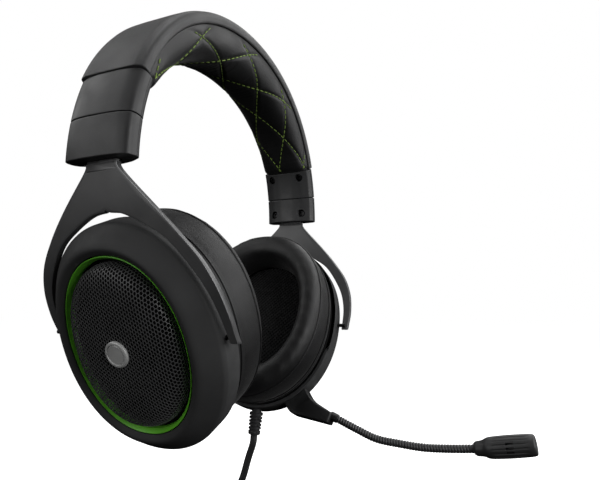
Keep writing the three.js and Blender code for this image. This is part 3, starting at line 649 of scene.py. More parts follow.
def pad_place(angle, share, lift=0):
    """A place on the sewn pad's surface, lifted off it by so many millimetres."""
    section, around = pad_section(round(pad_depth(angle), 1))
    at = min(max(share, 0), 1) * PAD_STEPS
    k = min(int(at), PAD_STEPS - 1)
    flat = section[k].lerp(section[k + 1], at - k)
    along = (section[min(k + 2, PAD_STEPS)] - section[max(k - 1, 0)]).normalized()
    outward = Vector((along.y, -along.x, 0))
    if outward.y > 0 and abs(flat.x) < PAD_HALF_WIDTH * 0.9:
        outward = -outward
    slant = hypot(1, LINE_SLOPE * around / MM_PER_DEGREE)
    away = min(abs(share - ROW_START - slope * (angle - start)) for start, slope in QUILT) * around / slant
    edges = min(share, 1 - share) * around
    ends = max(min(angle - SLEEVE_TOP, 180 - SLEEVE_TOP - angle) * MM_PER_DEGREE, 0)
    inside = min(1, edges / 3, max(ends, 0.01) / 2)
    channel = QUILT_DEPTH * exp(-(away / QUILT_WIDTH) ** 2) * inside
    roll = ROLL_DEPTH * exp(-(ends / ROLL_WIDTH) ** 2)
    flat = flat + outward * (lift - channel - roll)
    return band_point(angle, flat.x, flat.y)


def add_pad():
    start, end = SLEEVE_TOP + SEAM_HALF, 180 - SLEEVE_TOP - SEAM_HALF
    rings = []
    for k in range(PAD_ROWS + 1):
        angle = start + (end - start) * k / PAD_ROWS
        ring = [pad_place(angle, i / PAD_COLUMNS) for i in range(PAD_COLUMNS + 1)]
        ring += [band_point(angle, across, -PAD_TOP) for across in (PAD_HALF_WIDTH - 1.5, 1.5 - PAD_HALF_WIDTH)]
        rings.append(ring)
    pad = piece("band_pad", loft(rings), "headband", PAD_LEATHER, ["headband_pad"], 60)


def add_stitches():
    """Thread in the quilted channels, one small capsule for each stitch."""
    capsules = []
    low, high = SLEEVE_TOP + 1.2, 180 - SLEEVE_TOP - 1.2
    for start, slope in QUILT:
        reach = [(share - ROW_START) / slope + start for share in (0.03, 0.97)]
        first, last = max(min(reach), low), min(max(reach), high)
        if last - first < 2:
            continue
        angles = [first + (last - first) * k / 160 for k in range(161)]
        fine = divided([pad_place(a, ROW_START + slope * (a - start), STITCH_LIFT) for a in angles], step=0.1)
        for at in range(0, len(fine) - STITCH, STITCH + STITCH_GAP):
            along = (fine[at + STITCH] - fine[at]).normalized()
            side = along.orthogonal().normalized()
            capsules.append(loft([circle(fine[at + j], side, along.cross(side), 6, lambda angle: STITCH_RADIUS * size)
                                  for j, size in STITCH_RINGS.items()]))
    piece("band_stitching", joined(capsules), "headband", THREAD)


add_cover()
add_pad()
add_stitches()

# ---- sleeves
SLEEVE_HALF = [(5.5, 0.2), (11, -0.25, 1.5), (15.1, -1.4, 1.6), (16.1, -3.2, 1), (16.25, -5.2), (16.25, -5.85),
               (15.8, -6), (16.1, -6.15), (16, -6.9, 0.4), (15, -8.6, 0.8), (10, -11, 1.5), (4, -12.3, 1.5)]
YOKE_NECK_X, YOKE_TOP_Z, SLIDE_TILT = 82.3, -69.8, 5
STEM_WIDTH, STEM_THICKNESS, STEM_LENGTH = 15, 2.4, 30
SCREW_ACROSS, SCREW_ANGLES = 9.5, {"lower": 3.7, "upper": 20.6}
SCREW_SEAT = 2.8


def stem_box(width, thickness, below, above):
    x, y, z = Matrix.Rotation(radians(SLIDE_TILT), 3, "Y")
    return box(Vector((YOKE_NECK_X, 0, YOKE_TOP_Z)), x * thickness / 2, y * width / 2, z, -below, above)


def add_sleeves():
    section = mirrored(SLEEVE_HALF)
    spans = {"lower": (0, SLEEVE_SEAM - SEAM_HALF), "upper": (SLEEVE_SEAM + SEAM_HALF, SLEEVE_TOP - SEAM_HALF)}
    passage = stem_box(STEM_WIDTH + 1.2, STEM_THICKNESS + 0.6, 4, STEM_LENGTH + 2)
    for tag, side in SIDES:
        for level, (start, end) in spans.items():
            sleeve = piece(f"{tag}_{level}_sleeve", to_side(band_sweep(section, start, end, 12, 0.45), side),
                           "headband", SHELL,
                           [f"{tag}_{level}_sleeve_shell", f"{tag}_{level}_sleeve_plate"], 35)
            angle = SCREW_ANGLES[level]
            seats = [drum(2.5, 0, 12, band_point(angle, across, -6), band_point(angle, across, -18.4), 32)
                     for across in (-SCREW_ACROSS, SCREW_ACROSS)]
            carve(sleeve, [to_side(shape, side) for shape in (passage, *seats)])
            for name, across in (("front", -SCREW_ACROSS), ("rear", SCREW_ACROSS)):
                add_screw(f"{tag}_{level}_{name}_screw", angle, across, side)
        # A dark core behind the seam between the two sleeves.
        smaller = [(across * 0.96, (radial + 6) * 0.88 - 6) for across, radial in section]
        core = band_sweep(smaller, SLEEVE_SEAM - 1.5, SLEEVE_SEAM + 1.5, 4, 0.1)
        core = piece(f"{tag}_sleeve_core", to_side(core, side), "headband", INNER)
        carve(core, [to_side(passage, side)])


def add_screw(node, angle, across, side):
    """A pan-head screw with a six-lobed recess."""
    profile = [(0.05, 0), (1, 0)] + [(radius, SCREW_SEAT + rise) for radius, rise in (
        (1, 0), (2.15, 0), (2.2, 0.2), (2.2, 0.8), (1.95, 1.25), (1.5, 1.42), (1.25, 1.42), (1.15, 0.5), (0.05, 0.5))]

    def lobes(turn, radius, distance):
        return 1 + 0.16 * cos(6 * turn) if 1.1 < radius < 1.3 else 1

    head = lathe(profile, band_point(angle, across, -5), band_point(angle, across, -20), 36, lobes)
    piece(f"{node}_head", to_side(head, side), "headband", BLACK_SCREW, [node])


add_sleeves()

# ---- yokes
YOKE_RADIUS, YOKE_CENTRE_X, YOKE_CENTRE_Z, YOKE_THICKNESS = 156, -72.5, -50.6, 2.4
YOKE_TOE = radians(1.8)
YOKE_ROWS, YOKE_COLUMNS = 60, 8
YOKE_OUTER = [(8, -69.8), (9.6, -73.3), (23.8, -87.8), (32.4, -97.2), (40.1, -107), (44.6, -117), (46.4, -127),
              (46.4, -134.5)]
YOKE_INNER = [(0, -88), (8, -89.2), (18.5, -94), (27.3, -99.6), (34.4, -108.2), (39.4, -116.6), (42.1, -125.5),
              (42.95, -134.5)]
PIVOT = Vector(named(RECORD["behaviour"]["joints"], "left_tilt")["pos_m"]) / MM


def edge_line(points, count):
    return divided(smooth_path([(*p, 0) for p in points], 24), count)


def yoke_edges():
    """The outer and the inner edge of an arm, as equally many (y, z) places from the neck to the tip."""
    outer = edge_line(YOKE_OUTER, YOKE_ROWS)
    neck = [Vector((0, YOKE_TOP_Z - 18.5 * k / 14, 0)) for k in range(14)]
    inner = divided(neck + edge_line(YOKE_INNER, 50), YOKE_ROWS)
    # The arm ends square below the pivot, with small round corners.
    middle, half = (outer[-1].x + inner[-1].x) / 2, (outer[-1].x - inner[-1].x) / 2
    for across, drop in ((1, -0.5), (0.98, -0.8), (0.9, -0.93), (0.78, -1)):
        z = PIVOT.z + 1.4 * half * drop
        outer.append(Vector((middle + half * across, z, 0)))
        inner.append(Vector((middle - half * across, z, 0)))
    return inner, outer


def yoke_shape():
    """Two arms, bent outwards round a large radius and toed in. They share the neck's middle line."""
    inner, outer = yoke_edges()
    toe, neck = Matrix.Rotation(YOKE_TOE, 3, "Z"), Vector((YOKE_NECK_X, 0, 0))
    section = [(k / YOKE_COLUMNS, YOKE_THICKNESS / 2) for k in range(YOKE_COLUMNS + 1)]
    section += [(share, -offset) for share, offset in reversed(section)]
    # The wall between the arms is left out where both of them start on the middle line.
    walls = {(row + 1) * len(section) - 1 for row in range(len(inner) - 1)
             if max(inner[row].x, inner[row + 1].x) < 0.01}
    arms = []
    for end in (1, -1):
        rings = []
        for near, far in zip(inner, outer):
            ring = []
            for share, offset in section:
                flat = near.lerp(far, share)
                bend = sqrt((YOKE_RADIUS + offset) ** 2 - (flat.y - YOKE_CENTRE_Z) ** 2)
                ring.append(neck + toe @ Vector((YOKE_CENTRE_X + bend - YOKE_NECK_X, end * flat.x, flat.y)))
            rings.append(ring)
        verts, faces = loft(rings)
        arms.append((verts, [face for k, face in enumerate(faces) if k not in walls]))
    return joined(arms)


def add_yoke(tag, side):
    yoke = piece(f"{tag}_yoke_strap", to_side(yoke_shape(), side), None, [YOKE_PAINT, YOKE_EDGE_HIGHLIGHT],
                 [f"{tag}_yoke"], 35)
    # The bevel faces take the second material, whose lighter colour paints the highlight line along the arm's edges.
    add_bevel(yoke, 50, 1)
    stem = piece("stem", to_side(stem_box(STEM_WIDTH, STEM_THICKNESS - 0.6, 3, STEM_LENGTH), side), None,
                 [YOKE_PAINT, YOKE_EDGE_HIGHLIGHT])
    add_bevel(stem)
    merge(yoke, stem)
    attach(yoke, f"{tag}_yoke")


for tag, side in SIDES:
    add_yoke(tag, side)

# ---- ear cups
# A cup's places are given rearward, upward and outward of its middle.
FACE_UP, FACE_DEPTH = 41.3, 31
OVAL_POWER, OVAL_STRETCH, OVAL_POINTS = 2.1, 7.8, 128
EAR_FACE = named(RECORD["mounts"], "left_ear_face")
OUTWARD = -Vector(EAR_FACE["axis"])
TILT = atan2(-OUTWARD.z, OUTWARD.x)
UPWARD = Vector((sin(TILT), 0, cos(TILT)))
REARWARD = UPWARD.cross(OUTWARD)
CUP = Vector(EAR_FACE["pos_m"]) / MM - UPWARD * FACE_UP + OUTWARD * FACE_DEPTH


def cup_point(x, y, depth, side=1):
    p = CUP + REARWARD * x + UPWARD * y + OUTWARD * depth
    return Vector((p.x * side, p.y, p.z))


def oval(half_width, angle, stretch=OVAL_STRETCH):
    c, s = cos(angle), sin(angle)
    power = 2 / OVAL_POWER
    return half_width * copysign(abs(c) ** power, c), (half_width + stretch) * copysign(abs(s) ** power, s)


def oval_ring(half_width, depth, side=1, stretch=OVAL_STRETCH, count=OVAL_POINTS):
    """An oval line round a cup. Its depth is a number, or a function of the place."""
    ring = []
    for i in range(count):
        x, y = oval(half_width, 2 * pi * i / count, stretch)
        ring.append(cup_point(x, y, depth(x, y) if callable(depth) else depth, side))
    return ring


def cup_piece(name, tag, shape, look, node=None, crease=35, closed=True):
    return piece(f"{tag}_{name}", shape, f"{tag}_cup", look, [f"{tag}_{node}"] if node else (), crease, closed)


BEZEL_PROFILE = rounded([
    (41.1, -3.5), (41.4, -3.1, 0.2), (41.4, 6, 0.7), (40.8, 7.6, 0.7), (34.4, 13.6, 1.6), (32.7, 14.3, 0.9),
    (30.5, 13.1, 0.3), (30.3, 12.7, 0.2), (30.3, 9.2), (33.6, 10.6), (37.2, 8), (39.6, 5), (39.6, -3.5)],
    closed=True, steps=5)
HOUSING_PROFILE = rounded([
    (8, 8.4), (31, 8.4, 1), (36.2, 7.6, 1), (38.9, 4.5, 1), (39.2, -2.6, 0.5), (36.6, -3.6, 0.3),
    (36.6, -8.6, 0.2), (34.6, -8.6), (34.6, -3.4), (36.8, -1.6), (36.8, 3.6), (35.2, 5.8), (30, 6.4), (8, 6.4)])
ACCENT_PROFILE = rounded([(29.95, 9.3), (29.95, 12.75, 0.15), (29.6, 12.85, 0.15), (28.4, 11, 0.2), (28.4, 9.3)],
                         closed=True)
# The bezel wall's lower edge: shallow above the pivot, with a step down to the lower part.
WALL_FOOT = -3.5
WALL_HEIGHTS = (-60, -17, -15, -13, -10, -8, -6.4, 60)
WALL_DEPTHS = (-3.5, -3.4, -3, -1.7, 0.8, 2.3, 2.6, 2.6)


def bezel_shape(side):
    rings = []
    for half_width, depth in BEZEL_PROFILE:
        if depth < -2.9:
            rings.append(oval_ring(
                half_width, lambda x, y: float(np.interp(y, WALL_HEIGHTS, WALL_DEPTHS)) + depth - WALL_FOOT, side))
        else:
            rings.append(oval_ring(half_width, depth, side))
    return loft(rings, loop=True)


def cup_shape(profile, side, loop):
    return loft([oval_ring(half_width, depth, side) for half_width, depth in profile], loop)


def oval_through(x, y):
    """The half width of the cup's oval that passes through a place."""
    low, high = 0, 60
    for _ in range(26):
        h = (low + high) / 2
        inside = (abs(x) / max(h, 1e-6)) ** OVAL_POWER + (abs(y) / (h + OVAL_STRETCH)) ** OVAL_POWER
        low, high = (h, high) if inside > 1 else (low, h)
    return high


GRILLE_EDGE = rounded([(0, 17.4), (10, 17.35, 3), (19.5, 16.9, 3), (24, 15.8, 3), (26.3, 13.6, 2.2),
                       (27, 10.6, 1), (27, 9.2)], steps=6)
GRILLE_PITCH, GRILLE_COLUMN, HOLE_SHARE, GRILLE_SHEET = 1.733, 1.225, 0.82, 0.22


def add_grille(tag, side):
    """A domed sheet of staggered six-sided holes that carry on over its rolled edge."""
    arc = [0]
    for a, b in zip(GRILLE_EDGE, GRILLE_EDGE[1:]):
        arc.append(arc[-1] + dist(a, b))
    widths, depths = zip(*GRILLE_EDGE)
    reach = arc[-1]
    keys, verts, faces = {}, [], []

    def vertex(x, y):
        """The number of the vertex at a place on the unrolled sheet."""
        key = (round(x, 3), round(y, 3))
        if key not in keys:
            flat = oval_through(x, y)
            h = float(np.interp(flat, arc, widths))
            ratio_x = h / flat if flat > 1e-6 else 1
            ratio_y = (h + OVAL_STRETCH) / (flat + OVAL_STRETCH)
            keys[key] = len(verts)
            verts.append(cup_point(x * ratio_x, y * ratio_y, float(np.interp(flat, arc, depths)), side))
        return keys[key]

    tall = GRILLE_PITCH / sqrt(3)
    wide = GRILLE_COLUMN / 1.5
    rows = int((reach + OVAL_STRETCH) / GRILLE_PITCH) + 1
    columns = int(reach / GRILLE_COLUMN) + 1
    for column in range(-columns, columns + 1):
        for row in range(-rows, rows + 1):
            cx, cy = column * GRILLE_COLUMN, (row + 0.5 * (column % 2)) * GRILLE_PITCH
            if oval_through(cx, cy) > reach - 0.2:
                continue
            outer, inner = [], []
            for k in range(6):
                x, y = wide * cos(pi * k / 3), tall * sin(pi * k / 3)
                outer.append(vertex(cx + x, cy + y))
                inner.append(vertex(cx + x * HOLE_SHARE, cy + y * HOLE_SHARE))
            for k in range(6):
                n = (k + 1) % 6
                faces.append((outer[k], outer[n], inner[n], inner[k])[::side])
    grille = cup_piece("grille_mesh", tag, (verts, faces), GRILLE, "grille", 60, closed=False)
    thick = grille.modifiers.new("thick", "SOLIDIFY")
    thick.thickness = GRILLE_SHEET * MM
    thick.offset = -1
    apply_modifiers(grille)
    finish_shading(grille, 30)


def add_badge(tag, side):
    """A plain turned disc in the middle of the grille."""
    profile = [(0, 16.6), *rounded([(5.2, 16.6), (5.5, 17.3, 0.2), (5.5, 18.1, 0.2), (5.1, 18.45, 0.2),
                                    (4.35, 18.5, 0.1)])]
    profile += [(4.2, 18.25), (4, 18.2), (3.85, 18.32), (0.6, 18.4), (0, 18.4)]
    disc = lathe(profile, cup_point(0, 0, 0, side), cup_point(0, 0, 1, side), 64)
    cup_piece("badge_disc", tag, disc, BADGE, "badge", 30)


CUSHION_PROFILE = rounded([
    (36.5, -6, 0.8), (39, -6.3, 0.8), (40, -9.6, 2.5), (40.3, -16, 4), (40.2, -22.6, 4), (38.6, -27.6, 3),
    (35.6, -30, 2.5), (31.4, -30, 2.5), (28.6, -27.8, 2.5), (27.4, -23, 3), (27, -16, 3), (27, -9.3, 0.5)],
    closed=True)
SKIRT_PROFILE = rounded([(37.4, -4.3), (38.8, -4.3, 0.3), (39.5, -6.4, 0.8), (39.95, -9.4), (37.4, -9.4)],
                        closed=True)
OPENING_STRETCH = 5.4
HELD_DEPTH, CUSHION_FILL = -9.6, 0.75
VOXEL, PRESSURE, MOST_PUFF, CLOTH_FRAMES = 2.6, 4, 3, 20


def soften(obj, held):
    """Blows a closed form up a little as cloth, then limits how far each point moved."""
    remesh = obj.modifiers.new("remesh", "REMESH")
    remesh.mode = "VOXEL"
    remesh.voxel_size = VOXEL * MM
    apply_modifiers(obj)
    rest = [v.co.copy() for v in obj.data.vertices]
    group = obj.vertex_groups.new(name="held")
    group.add([v.index for v in obj.data.vertices if held(v.co)], 1, "ADD")
    cloth = obj.modifiers.new("cloth", "CLOTH")
    for name, value in {"quality": 5, "mass": 0.25, "use_pressure": True, "uniform_pressure_force": PRESSURE,
                        "tension_stiffness": 18, "compression_stiffness": 18, "bending_stiffness": 1.2,
                        "vertex_group_mass": "held"}.items():
        setattr(cloth.settings, name, value)
    cloth.settings.effector_weights.gravity = 0
    cloth.collision_settings.use_collision = False
    cloth.point_cache.frame_start, cloth.point_cache.frame_end = 1, CLOTH_FRAMES
    for number in range(1, CLOTH_FRAMES + 1):
        bpy.context.scene.frame_set(number)
    apply_modifiers(obj)
    for vertex, place in zip(obj.data.vertices, rest):
        moved = vertex.co - place
        if moved.length > MOST_PUFF * MM:
            vertex.co = place + moved.normalized() * MOST_PUFF * MM
    obj.vertex_groups.clear()
    bpy.context.scene.frame_set(1)


def left_ring():
    """The padded ring, with an opening that is a little shorter than the cup's family of ovals makes it."""
    rings = []
    for half_width, depth in CUSHION_PROFILE:
        share = min(max((half_width - 31) / 6, 0), 1)
        stretch = OPENING_STRETCH + (OVAL_STRETCH - OPENING_STRETCH) * share
        rings.append(oval_ring(half_width, depth, stretch=stretch))
    ring = piece("left_cushion_ring", loft(rings, loop=True), None, CUSHION_LEATHER,
                 ["left_ear_cushion"], 60)
    soften(ring, lambda place: (place - CUP * MM).dot(OUTWARD) > HELD_DEPTH * MM)
    smooth = ring.modifiers.new("smooth", "SMOOTH")
    smooth.factor, smooth.iterations = 0.5, 4
    finer = ring.modifiers.new("finer", "SUBSURF")
    finer.levels = finer.render_levels = 1
    apply_modifiers(ring)
    ring.data.shade_smooth()
    return ring


def right_ring():
    """The left ring's mirror image."""
    mesh = bpy.data.objects["left_cushion_ring"].data.copy()
    mesh.transform(Matrix.Scale(-1, 4, (1, 0, 0)))
    mesh.flip_normals()
    ring = linked("right_cushion_ring", mesh)
    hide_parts("right_ear_cushion")
    return ring


def add_cushion(tag, side):
    ring = left_ring() if side > 0 else right_ring()
    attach(ring, f"{tag}_cup")
    skirt = cup_piece("cushion_skirt", tag, cup_shape(SKIRT_PROFILE, side, True), CUSHION_LEATHER)
    add_piping("outer", tag, side, ring, 41.2, -23.4, 0.55)
    add_piping("root", tag, side, skirt, 40.6, -7.2, 0.45)


def add_piping(label, tag, side, surface, half_width, depth, radius, count=200):
    """A sewn cord laid in a seam, on the finished surface next to an oval line."""
    tree = BVHTree.FromObject(surface, bpy.context.evaluated_depsgraph_get())
    points = [tree.find_nearest(place * MM)[0] / MM for place in oval_ring(half_width, depth, side, count=count)]
    middle = sum(points, Vector()) / count
    rings = []
    for i, point in enumerate(points):
        along = (points[(i + 1) % count] - points[i - 1]).normalized()
        out = point - middle
        out = (out - along * out.dot(along)).normalized()
        rings.append(circle(point, out, along.cross(out), 10, lambda angle: radius))
    cup_piece(f"cushion_seam_{label}", tag, loft(rings, loop=True), PIPING, crease=40)


SCRIM_WIDTHS = (0.4, 3, 6, 9, 12, 15, 18, 20.5, 22.5, 24, 25.2)
SCRIM_DOME, SCRIM_DEPTH, SCRIM_THICKNESS, SCRIM_POINTS = 1.6, -9.6, 0.4, 64


def add_scrim(tag, side):
    """Stretched cloth over the driver, slightly domed by the foam under it."""
    def line(half_width, depth):
        dome = SCRIM_DOME * (1 - (half_width / SCRIM_WIDTHS[-1]) ** 2)
        return oval_ring(half_width, depth - dome, side, count=SCRIM_POINTS)

    rings = [line(h, SCRIM_DEPTH) for h in SCRIM_WIDTHS]
    rings += [line(h, SCRIM_DEPTH + SCRIM_THICKNESS) for h in reversed(SCRIM_WIDTHS)]
    scrim = cup_piece("scrim_cloth", tag, loft(rings), CLOTH, "scrim", 60)
    uv = scrim.data.uv_layers.new(name="cloth_mm")
    for corner in scrim.data.loops:
        place = scrim.data.vertices[corner.vertex_index].co / MM
        away = Vector((place.x * side, place.y, place.z)) - CUP
        uv.data[corner.index].uv = (away.dot(REARWARD), away.dot(UPWARD))


for tag, side in SIDES:
    cup_piece("bezel_ring", tag, bezel_shape(side), BEZEL, "bezel")
    cup_piece("housing_shell", tag, cup_shape(HOUSING_PROFILE, side, False), INNER, "housing")
    cup_piece("accent_loop", tag, cup_shape(ACCENT_PROFILE, side, True), GREEN, "accent_ring")
    add_grille(tag, side)
    add_badge(tag, side)
    add_cushion(tag, side)
    add_scrim(tag, side)

# ---- left cup controls
BEZEL_HALF_WIDTH = 41.4
DIAL_ANGLE, DIAL_CENTRE_RADIUS, DIAL_RIBS = radians(-20), 35.9, 30
MUTE_ANGLE = radians(-43)
CONTROL_DEPTH = 1.8


def add_controls():
    """The volume dial and the mute button in the bezel's rear edge, with their openings."""
    bezel, housing = bpy.data.objects["left_bezel_ring"], bpy.data.objects["left_housing_shell"]
    x, y = DIAL_CENTRE_RADIUS * cos(DIAL_ANGLE), DIAL_CENTRE_RADIUS * sin(DIAL_ANGLE)
    dial = cup_point(x, y, CONTROL_DEPTH), cup_point(x, y, CONTROL_DEPTH + 1)
    half = [(7, 1.2), (6.95, 1.7), (6.6, 2.15), (6.3, 2.2), (5.8, 1.95), (5.4, 2.2), (0, 2.2)]
    profile = [(radius, -depth) for radius, depth in reversed(half)] + half

    def knurl(angle, radius, distance):
        return 1 + (0.035 * cos(DIAL_RIBS * angle) if radius > 6.8 and abs(distance) < 1.9 else 0)

    piece("volume_wheel", lathe(profile, *dial, 180, knurl), "volume_dial", SOFT_RUBBER, ["volume_dial"])

    c, s = cos(MUTE_ANGLE), sin(MUTE_ANGLE)
    rim = ((abs(c) / BEZEL_HALF_WIDTH) ** OVAL_POWER
           + (abs(s) / (BEZEL_HALF_WIDTH + OVAL_STRETCH)) ** OVAL_POWER) ** (-1 / OVAL_POWER)
    mute = cup_point(rim * c, rim * s, CONTROL_DEPTH), cup_point(0, 0, CONTROL_DEPTH)
    profile = rounded([(0, -1.1), (2.2, -1.2, 0.5), (3, -1, 0.4), (3.2, -0.4, 0.2), (3.2, 6), (4.3, 6),
                       (4.3, 7.2), (0, 7.2)])
    piece("mute_cap", lathe(profile, *mute, 48), "mute_button", SOFT_RUBBER, ["mute_button"], 30)
    carve(bezel, [drum(7.3, -2.5, 2.5, *dial, 64), drum(3.5, -6, 5, *mute, 48)])
    carve(housing, [drum(7.4, -2.6, 2.6, *dial, 64)])


add_controls()

# ---- boom microphone
FOOT = [(-17.4, -44, 0), (-27.6, -34, 0), (-33.2, -41.1, 3.2), (-46.4, -47.4, 0.8), (-44.9, -52.8, 0.8),
        (-23, -49.8, 2.5)]
FOOT_LOW, FOOT_HIGH = -2.6, 6.2
FOOT_EDGE = ((0, 1.3), (0.25, 0.6), (0.8, 0.15), (1.6, 0))
BOOM = [Vector(p) for p in ((37.2, -49.4, -181.9), (37.2, -69.5, -189.4), (36.6, -92.8, -190.9),
                            (35.4, -116.4, -188.6))]
BOOM_RADIUS, BOOM_STEP, COIL_PITCH, COIL_DEPTH = 1.8, 0.16, 1.4, 0.5
HEAD_END = Vector((34.1, -143.9, -183.5))
HEAD_FLUTES, FLUTES_START, FLUTES_END = 16, 8.4, 24.3


def add_foot():
    """The bracket under the left cup, with the collar that holds the stem."""
    outline = rounded(FOOT, closed=True)
    levels = [(FOOT_LOW + up, amount) for up, amount in FOOT_EDGE]
    levels += [(FOOT_HIGH - down, amount) for down, amount in reversed(FOOT_EDGE)]
    foot = loft([[cup_point(*p, depth) for p in inset(outline, amount)] for depth, amount in levels])
    foot = piece("mic_bracket", foot, None, BRACKET, ["mic_foot"], 35)
    carve(foot, [loft([oval_ring(BEZEL_HALF_WIDTH + 0.3, depth) for depth in (-20, 20)])])
    root = BOOM[0] - (BOOM[1] - BOOM[0]).normalized() * 5
    profile = rounded([(0, 0), (2.1, 0, 0.3), (2.3, 0.6), (2.3, 3.9, 0.5), (2.1, 4.7, 0.2), (0, 4.7)])
    merge(foot, piece("collar", lathe(profile, root, BOOM[0]), None, SHELL))
    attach(foot, "mic")


def add_stem():
    """The flexible stem in three pieces. Each one is shaped with a slight curve round one joint's place."""
    along = (BOOM[1] - BOOM[0]).normalized()
    places = [BOOM[0] - along * 3.5]
    for a, b, sag in zip(BOOM, BOOM[1:], (0.25, 0.3, 0.25)):
        places += [a, a.lerp(b, 0.5) - Vector((0, 0, sag))]
    fine = divided(smooth_path([*places, BOOM[3]], 12), step=BOOM_STEP)
    cuts = [0]
    for a, b in zip(BOOM[:2], BOOM[1:3]):
        middle = a.lerp(b, 0.5)
        cuts.append(min(range(len(fine)), key=lambda i: (fine[i] - middle).length))
    cuts.append(len(fine) - 1)
    for number, (start, end) in enumerate(zip(cuts, cuts[1:])):
        def twist(angle, distance):
            turn = pi * (distance + start * BOOM_STEP) / COIL_PITCH
            return BOOM_RADIUS - 0.28 + COIL_DEPTH * abs(cos(angle - turn)) ** 0.8

        part = fine[start:end + 1]
        stem = piece(f"boom_stem_{number + 1}", swept(part, 24, twist), None, GOOSENECK,
                     [f"boom_segment_{number + 1}"], 60)
        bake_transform(stem)


def add_head():
    """The microphone capsule: a waisted neck, a fluted barrel and three sound slots each side."""
    axis = (HEAD_END - BOOM[3]).normalized()
    profile = rounded([(0, 0.2), (2.6, 0.2, 0.3), (3.3, 1.4, 0.4), (3.6, 4.4, 1.2), (4.6, 6.3, 0.9),
                       (4.85, FLUTES_START, 0.8)])
    profile += [(4.85 + 0.18 * sin(pi * k / 20), FLUTES_START + 15.6 * k / 20) for k in range(1, 20)]
    profile += rounded([(4.85, 24.2), (4.8, 25.2, 0.6), (4.5, 26.8, 0.6), (3.6, 27.15, 0.3), (3.4, 26.8, 0.2),
                        (0, 26.7)])

    def flutes(angle, radius, distance):
        if not FLUTES_START < distance < FLUTES_END or radius < 4:
            return 1
        ends = min(distance - FLUTES_START, FLUTES_END - distance)
        return 1 - 0.06 * min(1, ends / 1.2) * max(0, cos(HEAD_FLUTES * angle)) ** 0.6

    head = piece("mic_capsule", lathe(profile, BOOM[3], HEAD_END, 192, flutes), None, SHELL, ["mic_head"], 35)
    side = axis.orthogonal().normalized()
    other = axis.cross(side)
    slots_face = Vector((-1, -0.35, 0.12)).normalized()
    facing = atan2(slots_face.dot(other), slots_face.dot(side))
    slots = []
    for turn in (facing, facing + pi):
        for k in (-1, 0, 1):
            angle = turn + k * 2 * pi / HEAD_FLUTES
            out = side * cos(angle) + other * sin(angle)
            centre = BOOM[3] + axis * 16.3 + out * 4.9
            slots.append(box(centre, axis * 1.7, axis.cross(out) * 0.5, out, -2.2, 1))
    carve(head, slots)
    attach(head, "boom_3")


add_foot()
add_stem()
add_head()

# ---- strain relief
RIBS, RIB_START, RIB_STEP = 5, 4.6, 1.85


def add_relief():
    """A ribbed sleeve: closed bands joined by short bridges, then a tapering end."""
    profile = rounded([(0, 0), (2.6, 0), (2.6, 3, 0.2), (3.7, 3.1, 0.3), (3.75, 4.4, 0.3)])
    for k in range(RIBS):
        at, outer = RIB_START + RIB_STEP * k, 3.7 - 0.08 * k
        profile += [(2.7, at), (2.7, at + 0.7), (outer - 0.1, at + 0.8), (outer, at + 1), (outer, at + 1.6),
                    (outer - 0.1, at + 1.75)]
    profile += rounded([(3.3, 14.35), (3.1, 14.75, 0.2), (2, 14.75), (0, 14.75)])

    def notch(angle, radius, distance):
        """Thins each rib at four places, turned by half a step from rib to rib."""
        if radius < 3.2 or distance < 4.5 or distance > 13.6:
            return 1
        row = int((distance - RIB_START) / RIB_STEP) % 2
        return 1 - 0.14 * max(0, cos(4 * angle + pi * row)) ** 4

    piece("relief_sleeve", lathe(profile, RELIEF_ROOT, RELIEF_TIP, 64, notch), "left_cup", SOFT_RUBBER,
          ["strain_relief"], 35)


add_relief()

# ---- CAD nodes that stay
KEPT = {"spring_band": STEEL, "mic_socket": GOLD, "mic_jack": GOLD}
for tag, side in SIDES:
    KEPT.update({f"{tag}_front_pivot_pin": BLACK_SCREW, f"{tag}_rear_pivot_pin": BLACK_SCREW,
                 f"{tag}_baffle": INNER, f"{tag}_driver": STEEL})
for node, look in KEPT.items():
    materials = frame["nodes"][node].data.materials
    materials.clear()
    materials.append(look)

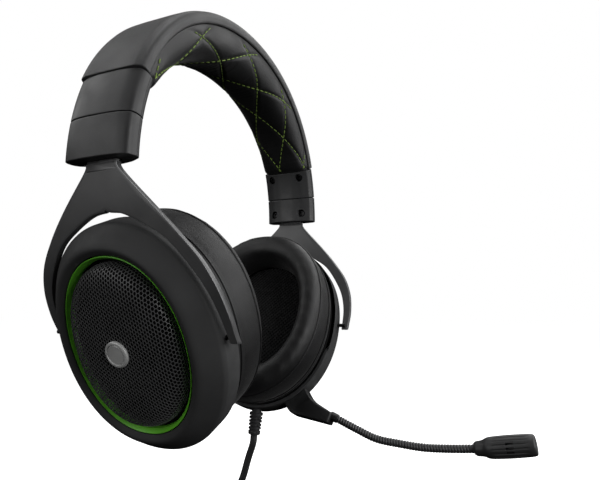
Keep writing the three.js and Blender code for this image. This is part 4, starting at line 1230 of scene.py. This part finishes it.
# ---- floor and light
FLOOR_HALF_SIZE = 6000
# The coil hangs from the left cup, so the floor leaves room for the slider's travel.
SLIDER_TRAVEL, FLOOR_GAP = 24, 2
LAMP_SIZE, LAMP_TARGET = 0.7, Vector((0, 0, -0.1))
LAMPS = {
    "left": ((-0.972, 0.462, 0.129), 3.2),
    "right": ((-0.286, -1.037, 0.129), 7.7),
    "far_left_high": ((-0.282, 0.794, 0.607), 2.8),
    "far_right": ((0.525, -0.924, 0.185), 3.6),
    "far_right_high": ((0.591, -0.600, 0.607), 2.4),
    "behind_high": ((0.839, -0.079, 0.607), 3.2),
    "top": ((0, 0, 1), 4),
}


def add_floor():
    """A pale floor that the camera sees, and that throws no light back up at the object."""
    low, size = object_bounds()[0][2] / MM - SLIDER_TRAVEL - FLOOR_GAP, FLOOR_HALF_SIZE
    corners = [(-size, -size, low), (size, -size, low), (size, size, low), (-size, size, low)]
    floor = new_object("floor", (corners, [(0, 1, 2, 3)]), closed=False)
    look = Look("pale_floor", 0.8, specular=0.1)
    look.colour((0.93, 0.93, 0.93), 0.01, 4)
    look.shader.inputs["Emission Color"].default_value = (1, 1, 1, 1)
    look.shader.inputs["Emission Strength"].default_value = 1
    floor.data.materials.append(look.material)
    floor.visible_diffuse = floor.visible_glossy = False


def add_lamp(name, place, watts):
    """A soft box aimed at the middle of the object."""
    data = bpy.data.lights.new(name, "AREA")
    data.energy, data.size = watts, LAMP_SIZE
    lamp = linked(name, data)
    lamp.location = place
    lamp.rotation_euler = (LAMP_TARGET - Vector(place)).to_track_quat("-Z", "Y").to_euler()


def add_world():
    """A white surrounding that only the camera sees."""
    world = bpy.data.worlds.new("studio")
    bpy.context.scene.world = world
    world.use_nodes = True
    world.node_tree.nodes["Background"].inputs["Color"].default_value = (1, 1, 1, 1)
    world.cycles_visibility.diffuse = world.cycles_visibility.glossy = False


add_floor()
add_world()
for name, (place, watts) in LAMPS.items():
    add_lamp(name, place, watts)
bpy.context.scene.view_settings.view_transform = "Standard"

bpy.context.view_layer.update()
